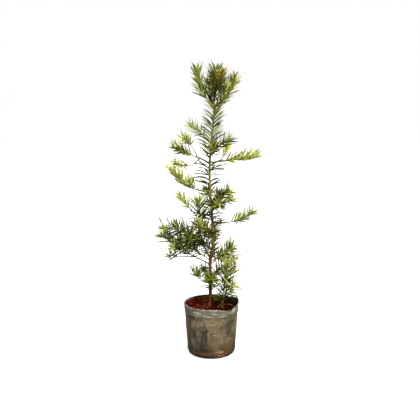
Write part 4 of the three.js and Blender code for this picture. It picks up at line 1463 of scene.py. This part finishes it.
def soil_height(radius, angle):
    """The soil's surface: level round the stems, cloddy, and rising to the wall."""
    x, y = radius * math.cos(angle), radius * math.sin(angle)
    edge = max(0, (radius - SOIL_SEAT_RADIUS) / (BAG_RIM_RADIUS - SOIL_SEAT_RADIUS))
    lump = (math.sin(7 * angle) + math.sin(4 * angle - 1)) / 2
    clods = ripple(x, y, 0, SOIL_CLODS) + facets(x, y, 0, SOIL_FACETS)
    fine = ripple(x, y, 7, SOIL_GRAIN)
    mound = MOUND_RISE * bell(math.hypot(x - MOUND_PLACE, y), MOUND_RADIUS)
    turn = math.degrees(angle)
    lift = sum(up * bell(angle_between(turn, at), half) for at, half, up in SOIL_TURNS)
    level_here = lerp(SOIL_LEVEL, SOIL_WALL_LEVEL, edge) + lift * min(1, edge) ** 2
    return level_here + SOIL_LUMPS * lump * edge * (1 - edge) * 2 + clods + fine + mound


def make_soil(finish):
    wall = wall_radius(SOIL_WALL_LEVEL) - BAG_WALL - SOIL_WALL_GAP
    rings = []
    for radius in np.linspace(SOIL_FIRST_RADIUS, wall, SOIL_ROWS):
        share = radius / wall
        for angle in angles(SOIL_COLUMNS):
            reach = radius + crumple(angle, SOIL_WALL_LEVEL) * share
            rings.append(place_at(reach, angle, soil_height(radius, angle)))
    for z in SOIL_SIDE_HEIGHTS:
        inside = wall_radius(z) - BAG_WALL - BAG_SLACK - SOIL_SIDE_GAP
        rings += [place_at(inside + crumple(angle, z), angle, z) for angle in angles(SOIL_COLUMNS)]
    points = np.vstack([[0, 0, soil_height(0, 0)], rings, [0, 0, SOIL_FOOT]])
    faces = pole_faces(SOIL_ROWS + len(SOIL_SIDE_HEIGHTS), SOIL_COLUMNS)
    pile = Pile()
    pile.add(points, [face[::-1] for face in faces])
    make_piece("soil_bed", pile, [finish], ["soil"], sharp=80)


def crumb_shape():
    """The points and faces of a small ball of 80 faces."""
    ball = bmesh.new()
    bmesh.ops.create_icosphere(ball, subdivisions=2, radius=1)
    points = np.array([v.co for v in ball.verts])
    faces = [tuple(v.index for v in face.verts) for face in ball.faces]
    ball.free()
    return points, faces


def crumb_points(ball, number, key, size):
    """The ball as crumb of that number: lumpy, stretched one way and flattened a little."""
    swell = [1 + ripple(*(point * 1.7 + number), CRUMB_LUMPS) for point in ball]
    squash = np.array([1 + CRUMB_STRETCH * noise(key + 3), 1, CRUMB_HEIGHT])
    return ball * np.array(swell)[:, None] * squash * size


def make_crumbs(finish, light_finish):
    """Clods and crumbs lying on the soil, a few of them pale grit."""
    pile = Pile()
    ball, faces = crumb_shape()
    least, more = CRUMB_SIZES
    for number in range(CRUMBS):
        key = FIRST_CRUMB_KEY + number * CRUMB_KEYS
        radius = CRUMB_REACH * math.sqrt(noise(key))
        angle = 2 * math.pi * noise(key + 1)
        size = least + more * noise(key + 2) ** 4
        place = place_at(radius, angle, soil_height(radius, angle) + CRUMB_RISE * size)
        points = crumb_points(ball, number, key, size) + place
        pile.add(points, faces, 1 if noise(key + 4) > 1 - PALE_SHARE else 0)
    make_piece("soil_crumbs", pile, [finish, light_finish], sharp=80)


def on_soil(point, over):
    """The point kept clear of the wall and laid that far over the soil."""
    reach = min(FALLEN_REACH, math.hypot(*point[:2]))
    place = reach * unit(point)
    height = soil_height(reach, math.atan2(place[1], place[0]))
    return place + (height + over) * UP


def make_fallen_leaves():
    """Dry leaves that lie about on the soil, a little higher in their middle."""
    pile = Pile()
    for number in range(FALLEN_LEAVES):
        key = FIRST_FALLEN_KEY + number * FALLEN_KEYS
        middle = ranged(FALLEN_PLACES, key) * level(360 * noise(key + 1))
        heading = 360 * noise(key + 2)
        length = ranged(FALLEN_LENGTHS, key + 3)
        foot, middle, tip = [
            on_soil(middle + way * length * level(heading), over)
            for way, over in zip((-0.5, 0, 0.5), FALLEN_RISES)
        ]
        across = level(heading + 90)
        leaf = Leaf(foot, middle, tip, across, UP, play(FALLEN_ROLL, key + 4), FALLEN_WIDTH)
        add_leaf(pile, leaf, number % len(DEAD_SHADES))
    finishes = leaf_finishes("dry_leaf", DEAD_SHADES)
    make_piece("fallen_leaves", pile, finishes, sharp=35)


# ---- Stage ----

# Suns: the point that each shines from, seen from the plant, its strength and its width in degrees.
SUNS = {
    "key": ((0.5, -1.0, 0.95), 4.6, 8),
    "fill": ((-1.2, -0.8, 0.5), 0.9, 60),
    "back": ((-0.3, 1.0, 1.1), 1.1, 40),
}
SKY_STRENGTH = 0.27
FLOOR_HALF = 6  # in metres
FLOOR_GLOW = 0.6


def make_floor():
    mesh = bpy.data.meshes.new("pale_floor")
    ways = [(-1, -1), (1, -1), (1, 1), (-1, 1)]
    corners = [(FLOOR_HALF * x, FLOOR_HALF * y, 0) for x, y in ways]
    mesh.from_pydata(corners, [], [(0, 1, 2, 3)])
    mesh.materials.append(stage_finish())
    floor = added("pale_floor", mesh)
    floor.visible_diffuse = False
    floor.visible_glossy = False


def make_lights():
    for name, (place, strength, width) in SUNS.items():
        lamp = bpy.data.lights.new(name, "SUN")
        lamp.angle = math.radians(width)
        lamp.energy = strength
        holder = added(name, lamp)
        holder.rotation_euler = (-Vector(place)).to_track_quat("-Z", "Y").to_euler()


def make_sky():
    """Soft light from all round, in front of a white backdrop."""
    world = bpy.data.worlds.new("studio")
    world.use_nodes = True
    sky = Shading(world.node_tree)
    background = sky.nodes["Background"].inputs
    seen = sky.node("ShaderNodeLightPath", {}, {}, "Is Camera Ray")
    strength = sky.node("ShaderNodeMapRange", {}, {"Value": seen, "To Min": SKY_STRENGTH})
    sky.feed(background["Color"], (1, 1, 1, 1))
    sky.feed(background["Strength"], strength)
    bpy.context.scene.world = world
    bpy.context.scene.view_settings.view_transform = "Standard"


def make_camera():
    lens = bpy.data.cameras.new("camera")
    lens.lens = CAMERA_LENS
    camera = added("camera", lens)
    camera.location = CAMERA_PLACE
    camera.rotation_euler = (math.radians(90 - CAMERA_PITCH), 0, 0)
    bpy.context.scene.camera = camera


# ---- The whole plant ----

make_camera()
make_lights()
make_sky()
make_floor()

film = [film_finish(), inner_film_finish(), rim_finish()]
bark = bark_finish()
soil = soil_finish("red_soil", "#0b0100", "#3b0b02", "#852c07")
grit = soil_finish("pale_grit", "#3a1a0e", "#5d301c", "#8a5434")

stems = grown_stems()
make_bag(film)
make_holes(film)
make_soil(soil)
make_crumbs(soil, grit)
make_fallen_leaves()
make_trunk(bark)
make_boughs(stems, bark)
make_twigs(stems, bark)
make_foliage(stems)
